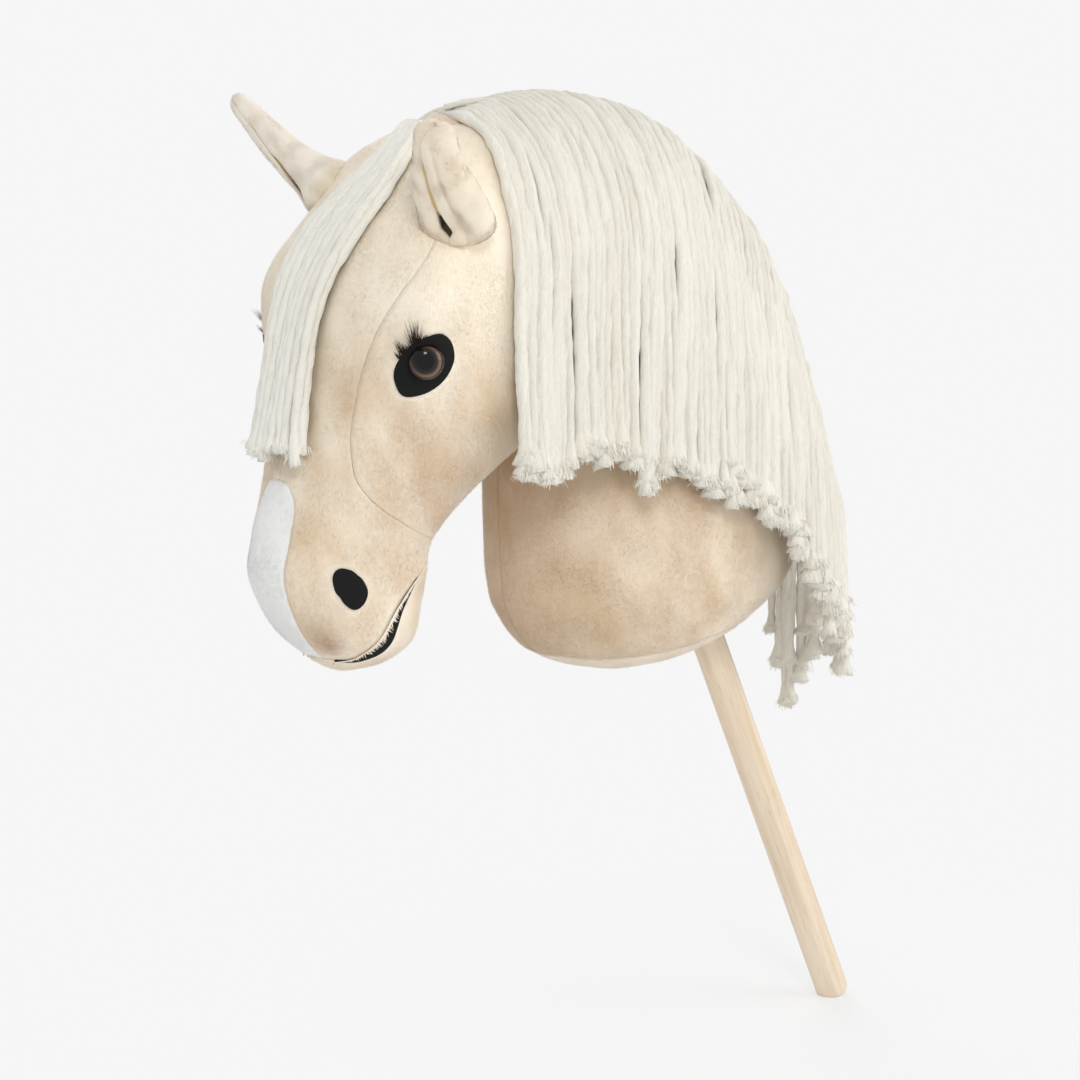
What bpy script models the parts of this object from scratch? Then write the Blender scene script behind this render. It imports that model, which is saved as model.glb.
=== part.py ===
"""A hobby horse: a stuffed plush head and neck with a cotton rope mane, on a round wooden stick.

The origin is the flat of the stick's rounded foot and +Z is up. The horse faces -X, its left side is
-Y, and it is symmetric about the plane Y = 0 but for its ears. Sizes in this file are millimetres
until a mesh is made, which turns them into metres.
"""

import math

import bmesh
import bpy
import numpy as np
from mathutils import Matrix, Vector

# Driving dimensions
METRES_PER_MM = 0.001
STICK_DIAMETER = 25.0
STICK_LEAN = math.radians(23.3)
STICK_LENGTH = 500.0
FOOT_FLAT_RADIUS = 7.0
SKIN = 2.4
FILLING_DEPTH = 6.8
TOUCH_GAP = 0.3
SEAM_GAP = 0.4
CURVED_SEAM_GAP = 1.0
PATCH_LIFT = 0.8
PATCH_THICKNESS = 1.0

# The sleeve that takes the stick
SLEEVE_BORE_RADIUS = STICK_DIAMETER / 2 + 0.3
SLEEVE_RADIUS = SLEEVE_BORE_RADIUS + 1.8
SLEEVE_START = 336.0
CAP_THICKNESS = 4.0
BASE_HOLE_RADIUS = STICK_DIAMETER / 2 + 0.8

# The eyes, by their place on the head: station along it and angle round it from the nose
EYE_STATION = 8.82
EYE_ANGLE = math.radians(55.5)
EYE_DIAMETER = 24.0
EYE_HEIGHT = 8.5
SHANK_DIAMETER = 6.0
SHANK_LENGTH = 12.0
WASHER_DIAMETER = 18.0
WASHER_THICKNESS = 1.6
WASHER_DEPTH = 4.4
EYE_LIFT = 1.3
LASHES = 9
LASH_LENGTH = 7.0
LASH_BULGE = 3.5
LASH_STRIP = 1.4

# The ears
EAR_HALF_WIDTH = 26.5
EAR_DEPTH_SHARE = 0.7
EAR_ROLL = 2.88
EAR_BEND = 4.0
EAR_CLOSES = 0.86
EAR_ROWS = 9
EAR_COLUMNS = 11
EAR_SHELL = 3.0
EAR_LINING = 1.4
EAR_LINING_GAP = 1.1
EAR_LINING_REACH = 0.82
# How wide an ear is along its length, as shares
EAR_SWELL = ((0, 0.80), (0.15, 0.97), (0.3, 1.0), (0.55, 0.80), (0.8, 0.60), (1.0, 0.52))
EAR_SWING = math.radians(12.0)
EAR_HINGE = (11.1, math.radians(60))
HEAD_CLEARANCE = 2.6
# Each ear's base, its tip, and the way that its slit faces at the root and at the tip
EARS = {
    "left": ((-404, -80, 600), (-444, -122, 686), (-0.79, -0.61, -0.1), (-1, -0.09, 0)),
    "right": ((-410, 70, 622), (-442, 149, 698), (-0.79, 0.61, -0.1), (-1, 0.09, 0)),
}

# The mane and the forelock
ROPE_THICKNESS = 6.0
ROPE_CLEARANCE = 1.6
ROPE_STEPS = 6
ROPE_SHARE = 0.83
MANE_ROPES = 42
MANE_GROUPS = 6
# The mane's lower edge, by the share of the way from the poll to the back: its height, and its x
MANE_HEM = ((0, 449), (0.07, 446), (0.15, 458), (0.21, 454), (0.30, 441), (0.39, 440), (0.5, 424),
            (0.575, 407), (0.64, 394), (0.70, 374), (0.76, 356), (0.82, 330), (0.90, 309), (1.0, 290))
MANE_LINE = ((0, -371), (0.7, -112), (0.85, -64), (1.0, -22))
# The free ends' half width, where along the mane they start to round the back, and what is left there
MANE_HALF_WIDTH = 88.0
MANE_ROUNDS_AT = 0.62
MANE_ROUNDNESS = 2.2
MANE_BACK_WIDTH = 4.0
# How much lower and further back the right side hangs at its end
RIGHT_DROP = 70.0
RIGHT_REACH = 26.0
TAPE_WIDTH = 7.0
TAPE_HEIGHT = 4.0
TAPE_LIFT = 1.0
TAPE_GAP = 0.4
FORELOCK_ROPES = 10
FORELOCK_PITCH = 6.6
FORELOCK_FLARE = 7.0
FORELOCK_STATIONS = (13.3, 12.5, 11.6, 10.6, 9.6, 8.6, 7.7, 6.75)
FORELOCK_HINGE = (-392.0, 0.0, 676.0)

# Stations of the head, muzzle to poll: the front rail's x and z, the back rail's x and z, the half
# width, how square the section is, and how much wider it is in front
HEAD_STATIONS = (
    (-445, 308, -445, 308, 0, 0.10, 0.00),
    (-467, 316, -417, 314, 24, 0.10, 0.00),
    (-493, 338, -398, 327, 43, 0.10, 0.00),
    (-508, 363, -390, 355, 50, 0.10, 0.04),
    (-512, 384, -386, 377, 53, 0.12, 0.05),
    (-507, 408, -383, 397, 54, 0.18, 0.03),
    (-498, 439, -360, 424, 59, 0.25, 0.00),
    (-489, 471, -332, 448, 69, 0.35, 0.02),
    (-481, 503, -303, 476, 80, 0.45, 0.06),
    (-474, 539, -290, 517, 86, 0.50, 0.10),
    (-464, 574, -290, 563, 89, 0.50, 0.10),
    (-449, 606, -296, 608, 87, 0.45, 0.08),
    (-428, 635, -307, 646, 77, 0.40, 0.06),
    (-407, 659, -328, 671, 60, 0.35, 0.03),
    (-388, 675, -347, 684, 34, 0.25, 0.00),
    (-367, 684, -367, 684, 0, 0.25, 0.00),
)
# The swell of the brow above each eye: station, angle, reach along, reach round, and height
BROW = (9.9, math.radians(46), 1.15, math.radians(26), 0.20)

# Stations of the neck, base to poll: the throat's x and z, the crest's x and z, and the rest as above
NECK_STATIONS = (
    (-213, 285, -213, 285, 0, 0.10, 0.00),
    (-274, 297, -148, 298, 50, 0.10, 0.00),
    (-306, 328, -94, 324, 72, 0.10, 0.00),
    (-315, 363, -62, 362, 80, 0.10, 0.00),
    (-317, 433, -54, 434, 84, 0.10, 0.00),
    (-314, 489, -69, 502, 82, 0.10, 0.00),
    (-314, 535, -97, 574, 75, 0.10, 0.00),
    (-323, 567, -141, 633, 68, 0.10, 0.00),
    (-342, 590, -199, 679, 59, 0.10, 0.00),
    (-364, 602, -265, 696, 53, 0.10, 0.00),
    (-387, 614, -327, 694, 44, 0.10, 0.00),
    (-397, 627, -370, 686, 30, 0.10, 0.00),
    (-388, 655, -388, 655, 0, 0.10, 0.00),
)

# The mane's line along the crest: the neck's station at the poll and how far it runs down the back
CREST_START = 10.75
CREST_REACH = 6.8

# Seams of the head, as station and degrees round from the nose
CHEEK_SEAM = ((4.85, 180), (5.1, 135), (5.6, 88), (6.2, 57), (7.0, 39), (8.0, 30), (9.0, 29.5),
              (10.0, 34), (11.2, 48), (12.5, 56), (14.6, 60))
LIP_SEAM = ((1.22, 66), (1.45, 85), (1.9, 96), (2.4, 101), (2.9, 110), (3.4, 118), (3.9, 128),
            (4.4, 148), (4.85, 180))
BLAZE_EDGE = ((1.22, 24), (2.6, 24.5), (4.0, 22.5), (5.1, 21.5), (5.8, 17), (6.15, 9))
MOUTH_WIDTH = ((1.22, 3), (1.9, 10), (2.4, 9), (3.2, 6.5), (3.9, 4), (4.2, 2))
MOUTH_END = 4.2
BLAZE_TOP = 6.15

# The stations of each panel's rows
FACE_ROWS_BY_LIP = (1.26, 1.6, 2.1, 2.7, 3.3, 3.9, 4.4, 4.8)
FACE_ROWS_BY_CHEEK = (5.0, 5.2, 5.6, 6.1, 6.8, 7.6, 8.3, 9.0, 9.7, 10.4, 11.3, 12.3, 13.3, 14.1, 14.65)
BLAZE_ROWS = (1.28, 1.7, 2.3, 3.0, 3.8, 4.6, 5.3, 5.8, 6.1)
CHIN_ROWS = (1.1, 0.85, 0.45, 0.0, -0.5, -1.1, -1.8, -2.6, -3.4, -4.0, -4.5)
MOUTH_ROWS = (1.6, 2.1, 2.7, 3.3, 3.9)

# Ovals drawn on the head: station, angle, half length, half width, lean and how pinched at the top
NOSTRIL = (3.68, math.radians(69), 15.5, 13.0, math.radians(-28), 0.18)
EYE_PATCH = (8.85, math.radians(55), 24.5, 20.0, math.radians(14), -0.05)
STATION_LENGTH = 30.0
HEAD_RADIUS = 62.0


def stick_point(along):
    """A point on the stick's axis, at a distance up from its foot."""
    return Vector((-math.sin(STICK_LEAN) * along, 0, math.cos(STICK_LEAN) * along))


STICK_AXIS = stick_point(1.0)
SIGN = {"left": 1, "right": -1}
SIDES = tuple(SIGN.items())


class StuffedForm:
    """A stuffed shape lofted through stations between a front and a back rail, round at both ends."""

    def __init__(self, stations, swell=None):
        rows = np.array(stations, float)
        mirrored = [2, 3, 0, 1, 4, 5, 6]
        before, after = rows[1][mirrored], rows[-2][mirrored]
        before[4] *= -1
        after[4] *= -1
        self.rows = np.vstack([before, rows, after])
        self.last = len(stations) - 1
        self.swell = swell

    def row(self, u):
        """The station values at u, by a Catmull-Rom curve through the stations."""
        i = np.clip(np.floor(u).astype(int), 0, self.last - 1)
        t = (u - i)[..., None]
        a, b, c, d = (self.rows[i + k] for k in range(4))
        bend = 2 * a - 5 * b + 4 * c - d
        return 0.5 * (2 * b + (c - a) * t + bend * t**2 + (3 * b - a - 3 * c + d) * t**3)

    def at(self, u, v):
        """Points at station u and angle v from the front rail, positive towards the horse's left."""
        u, v = np.broadcast_arrays(np.asarray(u, float), np.asarray(v, float))
        r = self.row(u)
        middle = (r[..., 0:2] + r[..., 2:4]) / 2
        reach = (r[..., 0:2] - r[..., 2:4]) / 2
        cosine, sine = np.cos(v), np.sin(v)
        xz = middle + reach * cosine[..., None]
        wide = r[..., 4] * (1 + r[..., 5] * cosine**2 + r[..., 6] * cosine)
        if self.swell:
            station, angle, along, around, height = self.swell
            turned = np.abs(np.arctan2(sine, cosine))
            wide = wide * (1 + height * np.exp(-(((u - station) / along) ** 2)
                                               - ((turned - angle) / around) ** 2))
        return np.stack([xz[..., 0], -wide * sine, xz[..., 1]], -1)

    def normal(self, u, v):
        """Outward normals, from the surface's two slopes."""
        u, v = np.broadcast_arrays(np.asarray(u, float), np.asarray(v, float))
        u = np.clip(u, 0.02, self.last - 0.02)
        step = 1e-3
        along = self.at(u + step, v) - self.at(u - step, v)
        around = self.at(u, v + step) - self.at(u, v - step)
        normal = np.cross(around, along)
        return normal / np.linalg.norm(normal, axis=-1, keepdims=True)

    def off(self, u, v, distance):
        """Points at a distance outside the surface, or inside it where the distance is negative."""
        return self.at(u, v) + self.normal(u, v) * distance


HEAD = StuffedForm(HEAD_STATIONS, BROW)
NECK = StuffedForm(NECK_STATIONS)


def through(points, value):
    """A smooth value through (place, value) pairs, kept within its neighbours."""
    places, values = np.array(points, float).T
    slopes = np.gradient(values, places)
    i = np.clip(np.searchsorted(places, value) - 1, 0, len(places) - 2)
    width = places[i + 1] - places[i]
    t = np.clip((value - places[i]) / width, 0, 1)
    ends = (1 + 2 * t) * (1 - t) ** 2 * values[i] + t**2 * (3 - 2 * t) * values[i + 1]
    return ends + (t * (1 - t) ** 2 * slopes[i] - t**2 * (1 - t) * slopes[i + 1]) * width


def clear_scene():
    """Removes whatever the file starts with."""
    for thing in list(bpy.data.objects):
        bpy.data.objects.remove(thing, do_unlink=True)


def finish(name, colour, roughness, metallic=0.0):
    """A plain material of one colour."""
    made = bpy.data.materials.new(name)
    made.use_nodes = True
    shader = made.node_tree.nodes["Principled BSDF"]
    shader.inputs["Base Color"].default_value = (*colour, 1.0)
    shader.inputs["Roughness"].default_value = roughness
    shader.inputs["Metallic"].default_value = metallic
    return made


def solid(name, points, faces, material, crease=math.radians(40)):
    """One closed mesh object, from points in millimetres, with its faces turned outward."""
    mesh = bpy.data.meshes.new(name)
    mesh.from_pydata([tuple(p) for p in np.asarray(points) * METRES_PER_MM], [], faces)
    shape = bmesh.new()
    shape.from_mesh(mesh)
    bmesh.ops.recalc_face_normals(shape, faces=shape.faces)
    shape.to_mesh(mesh)
    shape.free()
    mesh.materials.append(material)
    mesh.shade_smooth()
    mesh.set_sharp_from_angle(angle=crease)
    made = bpy.data.objects.new(name, mesh)
    bpy.context.collection.objects.link(made)
    return made


def as_cutter(thing):
    """Marks an object as a guide that only cuts."""
    thing.hide_render = True
    thing.display_type = "WIRE"
    return thing


def cut(thing, *cutters):
    """Takes the cutters out of an object."""
    for cutter in cutters:
        boolean = thing.modifiers.new(cutter.name, "BOOLEAN")
        boolean.operation = "DIFFERENCE"
        boolean.solver = "EXACT"
        boolean.object = cutter


def sheet_solid(name, outer, inner, material):
    """A closed sheet between two grids of points of the same size, joined round their edges."""
    rows, columns = outer.shape[:2]
    points = np.concatenate([outer.reshape(-1, 3), inner.reshape(-1, 3)])
    count = rows * columns
    index = np.arange(count).reshape(rows, columns)
    faces = []
    for i in range(rows - 1):
        for j in range(columns - 1):
            quad = (index[i, j], index[i, j + 1], index[i + 1, j + 1], index[i + 1, j])
            faces.append(tuple(int(k) for k in quad))
            faces.append(tuple(int(k) + count for k in reversed(quad)))
    rim = [*index[0], *index[1:, -1], *index[-1, -2::-1], *index[-2:0:-1, 0]]
    for a, b in zip(rim, rim[1:] + rim[:1]):
        faces.append((int(b), int(a), int(a) + count, int(b) + count))
    return solid(name, points, faces, material)


def loft_solid(name, form, distance, rows, columns, material):
    """A whole stuffed form as one closed solid, at a distance from its surface."""
    u = form.last * (0.5 - 0.5 * np.cos(np.linspace(0.05, math.pi - 0.05, rows)))
    v = np.linspace(0, 2 * math.pi, columns, endpoint=False)
    rings = form.off(u[:, None], v[None, :], distance)
    ends = [form.off(np.array(e), np.array(0.0), 0) for e in (0.0, form.last)]
    inward = np.array([rings[0].mean(0) - ends[0], rings[-1].mean(0) - ends[1]])
    inward /= np.linalg.norm(inward, axis=1, keepdims=True)
    points = [*rings.reshape(-1, 3), ends[0] - inward[0] * distance, ends[1] - inward[1] * distance]
    faces = []
    for i in range(rows - 1):
        for j in range(columns):
            k = (j + 1) % columns
            faces.append((i * columns + j, i * columns + k, (i + 1) * columns + k, (i + 1) * columns + j))
    for j in range(columns):
        k = (j + 1) % columns
        faces.append((k, j, rows * columns))
        faces.append(((rows - 1) * columns + j, (rows - 1) * columns + k, rows * columns + 1))
    return solid(name, points, faces, material)


def turned(name, profile, origin, axis, sides, material, closed=False):
    """A turned solid: a profile of (radius, height) pairs carried round an axis.

    An open profile starts and ends on the axis, and a closed one is a ring's section.
    """
    axis = Vector(axis).normalized()
    turn = Vector((0, 0, 1)).rotation_difference(axis).to_matrix()
    points, rings = [], []
    for radius, height in profile:
        if radius < 1e-6:
            rings.append([len(points)])
            points.append(Vector(origin) + turn @ Vector((0, 0, height)))
            continue
        rings.append(list(range(len(points), len(points) + sides)))
        for k in range(sides):
            angle = 2 * math.pi * k / sides
            spot = Vector((radius * math.cos(angle), radius * math.sin(angle), height))
            points.append(Vector(origin) + turn @ spot)
    pairs = list(zip(rings, rings[1:] + ([rings[0]] if closed else [])))
    if not closed:
        pairs = pairs[: len(rings) - 1]
    faces = []
    for low, high in pairs:
        for k in range(sides):
            n = (k + 1) % sides
            if len(low) == 1:
                faces.append((low[0], high[n], high[k]))
            elif len(high) == 1:
                faces.append((low[k], low[n], high[0]))
            else:
                faces.append((low[k], low[n], high[n], high[k]))
    return solid(name, [tuple(p) for p in points], faces, material)


def rod_cutter(name, start, end, radius, material):
    """A plain cylinder between two points, for cutting a bore."""
    start, end = Vector(start), Vector(end)
    profile = [(0, 0), (radius, 0), (radius, (end - start).length), (0, (end - start).length)]
    return as_cutter(turned(name, profile, start, end - start, 24, material))


def skin_panel(name, form, u, v, material):
    """A panel of plush on a form, over a grid of stations u and angles v."""
    return sheet_solid(name, form.at(u, v), form.off(u, v, -SKIN), material)


def build_stick(materials):
    """The round stick, with a rounded foot that ends in a small flat."""
    radius = STICK_DIAMETER / 2
    rounding = radius - FOOT_FLAT_RADIUS
    profile = [(0, 0)]
    for k in range(5):
        angle = math.radians(22.5 * k)
        profile.append((FOOT_FLAT_RADIUS + rounding * math.sin(angle), rounding * (1 - math.cos(angle))))
    profile += [(radius, STICK_LENGTH - 2), (radius - 2, STICK_LENGTH), (0, STICK_LENGTH)]
    turned("stick", profile, (0, 0, 0), STICK_AXIS, 28, materials["wood"])


def build_sleeve(materials):
    """The tube that the stick slides into, and the cap that stops it."""
    top = STICK_LENGTH + TOUCH_GAP
    ring = [(SLEEVE_BORE_RADIUS, SLEEVE_START), (SLEEVE_RADIUS, SLEEVE_START),
            (SLEEVE_RADIUS, top), (SLEEVE_BORE_RADIUS, top)]
    turned("stick_sleeve", ring, (0, 0, 0), STICK_AXIS, 28, materials["sleeve"], closed=True)
    low = top + TOUCH_GAP
    disc = [(0, low), (SLEEVE_RADIUS, low), (SLEEVE_RADIUS, low + CAP_THICKNESS), (0, low + CAP_THICKNESS)]
    turned("sleeve_end_cap", disc, (0, 0, 0), STICK_AXIS, 28, materials["sleeve"])


def base_seam(v):
    """The station of the neck's base seam at each angle: it climbs at the back, round the stick."""
    return 1.1 + 0.85 * ((1 - np.cos(v)) / 2) ** 3


def build_neck(materials, head_cutter):
    """The stuffed neck: its filling, two skins and the base panel that the stick comes out of."""
    bore = rod_cutter("sleeve_bore", stick_point(SLEEVE_START - 60), stick_point(
        STICK_LENGTH + CAP_THICKNESS + 4 * TOUCH_GAP), SLEEVE_RADIUS + TOUCH_GAP, materials["filling"])
    hole = rod_cutter("base_hole", stick_point(SLEEVE_START - 60), stick_point(SLEEVE_START + 20),
                      BASE_HOLE_RADIUS, materials["filling"])
    filling = loft_solid("neck_filling", NECK, -FILLING_DEPTH, 18, 24, materials["filling"])
    cut(filling, head_cutter, bore)
    share = np.linspace(0, 1, 15)[:, None] ** 1.1
    edge = SEAM_GAP / 2 / 80
    for side, sign in SIDES:
        v = sign * np.linspace(edge, math.pi - edge, 13)[None, :]
        low = base_seam(v) + SEAM_GAP / 60
        u, v = np.broadcast_arrays(low + (NECK.last - 1.25 - low) * share, v)
        cut(skin_panel(f"neck_skin_{side}", NECK, u, v, materials["plush"]), head_cutter)
    v = np.linspace(0, 2 * math.pi, 24, endpoint=False)
    rings = [0.25, 0.55, 0.85, 1.0]
    outer = np.array([NECK.at(base_seam(v) * k, v) for k in rings])
    inner = np.array([NECK.off(base_seam(v) * k, v, -SKIN) for k in rings])
    panel = disc_solid("neck_base_panel", outer, inner, materials["base"])
    cut(panel, hole)


def disc_solid(name, outer, inner, material):
    """A closed disc between two sets of rings, each filled at its middle."""
    rings, columns = outer.shape[:2]
    count = rings * columns + 1
    points = [*outer.reshape(-1, 3), outer[0].mean(0), *inner.reshape(-1, 3), inner[0].mean(0)]
    faces = []
    for j in range(columns):
        k = (j + 1) % columns
        faces.append((j, k, count - 1))
        faces.append((count + k, count + j, 2 * count - 1))
        for i in range(rings - 1):
            quad = (i * columns + j, (i + 1) * columns + j, (i + 1) * columns + k, i * columns + k)
            faces.append(quad)
            faces.append(tuple(count + q for q in reversed(quad)))
        last = (rings - 1) * columns
        faces.append((last + j, count + last + j, count + last + k, last + k))
    return solid(name, points, faces, material)


def build_head(materials):
    """The stuffed head: its filling and the panels that make its skin."""
    filling = loft_solid("head_filling", HEAD, -FILLING_DEPTH, 20, 24, materials["filling"])
    low, high = np.array(FACE_ROWS_BY_LIP), np.array(FACE_ROWS_BY_CHEEK)
    u = np.concatenate([low, high])
    mouth = np.where(low < MOUTH_END, through(MOUTH_WIDTH, np.minimum(low, MOUTH_END)), 0)
    lip = through(LIP_SEAM, low) - mouth
    far = np.radians(np.concatenate([lip, through(CHEEK_SEAM, high)]))
    near = np.where(u < BLAZE_TOP, np.radians(through(BLAZE_EDGE, np.minimum(u, BLAZE_TOP))), 0)
    gap = SEAM_GAP / 2 / HEAD_RADIUS
    curved_gap = CURVED_SEAM_GAP / HEAD_RADIUS
    across = np.linspace(0, 1, 8)
    v = (near + gap)[:, None] + (far - near - 2.5 * gap)[:, None] * across
    u = np.broadcast_to(u[:, None], v.shape)
    for side, sign in SIDES:
        skin_panel(f"face_panel_{side}", HEAD, u, sign * v, materials["plush"])
    u = high[1:]
    near = np.radians(through(CHEEK_SEAM, u)) + 1.4 * curved_gap
    v = near[:, None] + (math.pi - near - gap)[:, None] * np.linspace(0, 1, 9)
    u = np.broadcast_to(u[:, None], v.shape)
    cheeks = {}
    for side, sign in SIDES:
        cheeks[side] = skin_panel(f"cheek_panel_{side}", HEAD, u, sign * v, materials["plush"])
    build_blaze(materials, 1.4 * curved_gap)
    build_chin(materials)
    return filling, cheeks


def build_blaze(materials, gap):
    """The white panel let in down the nose."""
    u = np.array(BLAZE_ROWS)
    reach = np.radians(through(BLAZE_EDGE, u)) - gap
    v = reach[:, None] * np.linspace(-1, 1, 7)
    skin_panel("blaze_panel", HEAD, np.broadcast_to(u[:, None], v.shape), v, materials["blaze"])


def build_chin(materials):
    """The chin and lower lip in one panel, and the black lining of the mouth above it.

    The panel covers the muzzle's end, so its grid is laid flat over it: each row is a line of points
    whose distance and angle from the muzzle's pole are a station and an angle of the head.
    """
    first, last = LIP_SEAM[0][0], LIP_SEAM[-1][0]
    station = np.linspace(first, last, 40)
    angle = np.radians(through(LIP_SEAM, station))
    along, reach = station * np.cos(angle), station * np.sin(angle)
    start = np.array([0.95, 0.86, 0.70]) * first
    back = along < 0.37 * first
    along = np.concatenate([start, along[back]])
    reach = np.concatenate([np.sqrt(first**2 - start**2), reach[back]])
    rows = np.array(CHIN_ROWS)
    half = np.interp(-rows, -along, reach) * 0.975 - 0.05
    b = half[:, None] * np.linspace(-1, 1, 9)
    a = np.broadcast_to(rows[:, None], b.shape)
    skin_panel("chin_panel", HEAD, np.hypot(a, b), np.arctan2(b, a), materials["plush"])
    u = np.array(MOUTH_ROWS)
    wide = through(MOUTH_WIDTH, u)
    for side, sign in SIDES:
        low = through(LIP_SEAM, u)[:, None] - wide[:, None] * np.array([0.9, 0.5, 0.1])
        grid = np.broadcast_to(u[:, None], low.shape)
        skin_panel(f"mouth_lining_{side}", HEAD, grid, sign * np.radians(low), materials["black"])


def patch(name, form, outline, rings, material):
    """A thin patch sewn on a form: rings from the middle of an outline of (station, angle) points."""
    middle = outline.mean(0)
    grids = []
    for height in (PATCH_LIFT + PATCH_THICKNESS, PATCH_LIFT):
        layers = [middle + (outline - middle) * k for k in rings]
        grids.append(np.array([form.off(layer[:, 0], layer[:, 1], height) for layer in layers]))
    return disc_solid(name, grids[0], grids[1], material)


def teardrop(shape, count=18):
    """An outline drawn round a point of the head: an oval, narrower at its upper end."""
    station, angle, half_length, half_width, lean, pinch = shape
    t = np.linspace(0, 2 * math.pi, count, endpoint=False)
    up = half_length * np.cos(t)
    side = half_width * np.sin(t) * (1 - pinch * np.cos(t))
    along = up * math.cos(lean) - side * math.sin(lean)
    around = up * math.sin(lean) + side * math.cos(lean)
    return np.stack([station + along / STATION_LENGTH, angle + around / HEAD_RADIUS], -1)


def build_features(materials, filling, cheeks):
    """The nostrils, the eyes' felt patches, the eyes and their lashes."""
    for side, sign in SIDES:
        mirror = np.array([1, sign])
        patch(f"nostril_{side}", HEAD, teardrop(NOSTRIL) * mirror, (0.35, 0.7, 1.0), materials["black"])
        felt = patch(f"eye_patch_{side}", HEAD, teardrop(EYE_PATCH) * mirror, (0.3, 0.65, 1.0),
                     materials["black"])
        build_eye(side, sign, materials, felt, cheeks[side], filling)
        build_lashes(side, sign, materials)


def build_eye(side, sign, materials, felt, cheek, filling):
    """A domed eye on a shank, and the washer that holds it behind the plush."""
    spot = HEAD.at(np.array(EYE_STATION), np.array(sign * EYE_ANGLE))
    out = HEAD.normal(np.array(EYE_STATION), np.array(sign * EYE_ANGLE))
    back = PATCH_LIFT + PATCH_THICKNESS + EYE_LIFT
    radius, shank_radius = EYE_DIAMETER / 2, SHANK_DIAMETER / 2
    profile = [(0, -SHANK_LENGTH), (shank_radius, -SHANK_LENGTH), (shank_radius, back), (radius - 1, back)]
    for k in range(6):
        angle = math.radians(90 - 18 * k)
        profile.append((radius * math.sin(angle), back + 1 + (EYE_HEIGHT - 1) * math.cos(angle)))
    turned(f"eye_{side}", profile, spot, out, 20, materials["eye"])
    low = -SKIN - WASHER_DEPTH - WASHER_THICKNESS
    high = low + WASHER_THICKNESS
    hole = shank_radius + TOUCH_GAP
    rim = WASHER_DIAMETER / 2
    washer = [(hole, low), (rim, low), (rim, high), (hole, high)]
    turned(f"eye_washer_{side}", washer, spot, out, 20, materials["washer"], closed=True)
    above = spot + out * EYE_HEIGHT
    below = spot - out * (SHANK_LENGTH + 1)
    shank = rod_cutter(f"shank_hole_{side}", below, above, hole, materials["washer"])
    pocket = rod_cutter(f"washer_pocket_{side}", spot + out * (low - TOUCH_GAP), above, rim + TOUCH_GAP,
                        materials["washer"])
    cut(felt, shank)
    cut(cheek, shank)
    cut(filling, shank, pocket)


def comb(name, bar, strands, material):
    """A fringe: a bar of cells with one strand drawn out of the open side of each cell.

    bar is a run of four-cornered sections, one more than there are strands, whose corners 1 and 2
    are on the open side. A strand is a run of four-cornered sections, without the first, which is
    its cell's open side drawn in.
    """
    points = [tuple(p) for section in bar for p in section]
    faces = [(3, 2, 1, 0), tuple(4 * (len(bar) - 1) + k for k in range(4))]
    for i, strand in enumerate(strands):
        a, b = 4 * i, 4 * (i + 1)
        for k, n in ((0, 1), (2, 3), (3, 0)):
            faces.append((a + k, a + n, b + n, b + k))
        mouth = [a + 1, a + 2, b + 2, b + 1]
        corners = np.array([points[k] for k in mouth])
        middle = corners.mean(0)
        ring = list(range(len(points), len(points) + 4))
        points += [tuple(p) for p in middle + (corners - middle) * 0.8]
        for k in range(4):
            n = (k + 1) % 4
            faces.append((mouth[k], mouth[n], ring[n], ring[k]))
        for section in strand:
            above = ring
            ring = list(range(len(points), len(points) + 4))
            points += [tuple(p) for p in section]
            for k in range(4):
                n = (k + 1) % 4
                faces.append((above[k], above[n], ring[n], ring[k]))
        faces.append(tuple(ring))
    return solid(name, points, faces, material)


def build_lashes(side, sign, materials):
    """A row of short lashes, fused to the strip that is sewn over the eye."""
    sweep = np.linspace(-0.35, 1.25, LASHES + 1)
    station = EYE_PATCH[0] + np.cos(sweep - 0.55) * 0.88
    angle = sign * (EYE_PATCH[1] - np.sin(sweep * 0.9 - 0.1) * 0.36)
    lift = PATCH_LIFT + PATCH_THICKNESS + 0.5
    edges = ((station, angle), (station + 0.06, angle - sign * 0.012))
    low = [HEAD.off(u, v, lift) for u, v in edges]
    high = [HEAD.off(u, v, lift + LASH_STRIP) for u, v in edges]
    bar = np.stack([low[0], low[1], high[1], high[0]], 1)
    strands = []
    for i in range(LASHES):
        mouth = np.array([bar[i][1], bar[i][2], bar[i + 1][2], bar[i + 1][1]])
        middle = mouth.mean(0)
        out = HEAD.normal(station[i], angle[i])
        away = middle - np.array([bar[i][0], bar[i + 1][0]]).mean(0)
        away = away / np.linalg.norm(away)
        reach = LASH_LENGTH + LASH_BULGE * math.sin(math.pi * (i + 0.5) / LASHES)
        sections = []
        for k, share in ((0.5, 0.36), (1.0, 0.10)):
            spot = middle + away * reach * k + out * reach * (0.55 * k + 0.25 * k * k)
            sections.append(spot + (mouth - middle) * share)
        strands.append(sections)
    comb(f"lashes_{side}", bar, strands, materials["black"])


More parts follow.
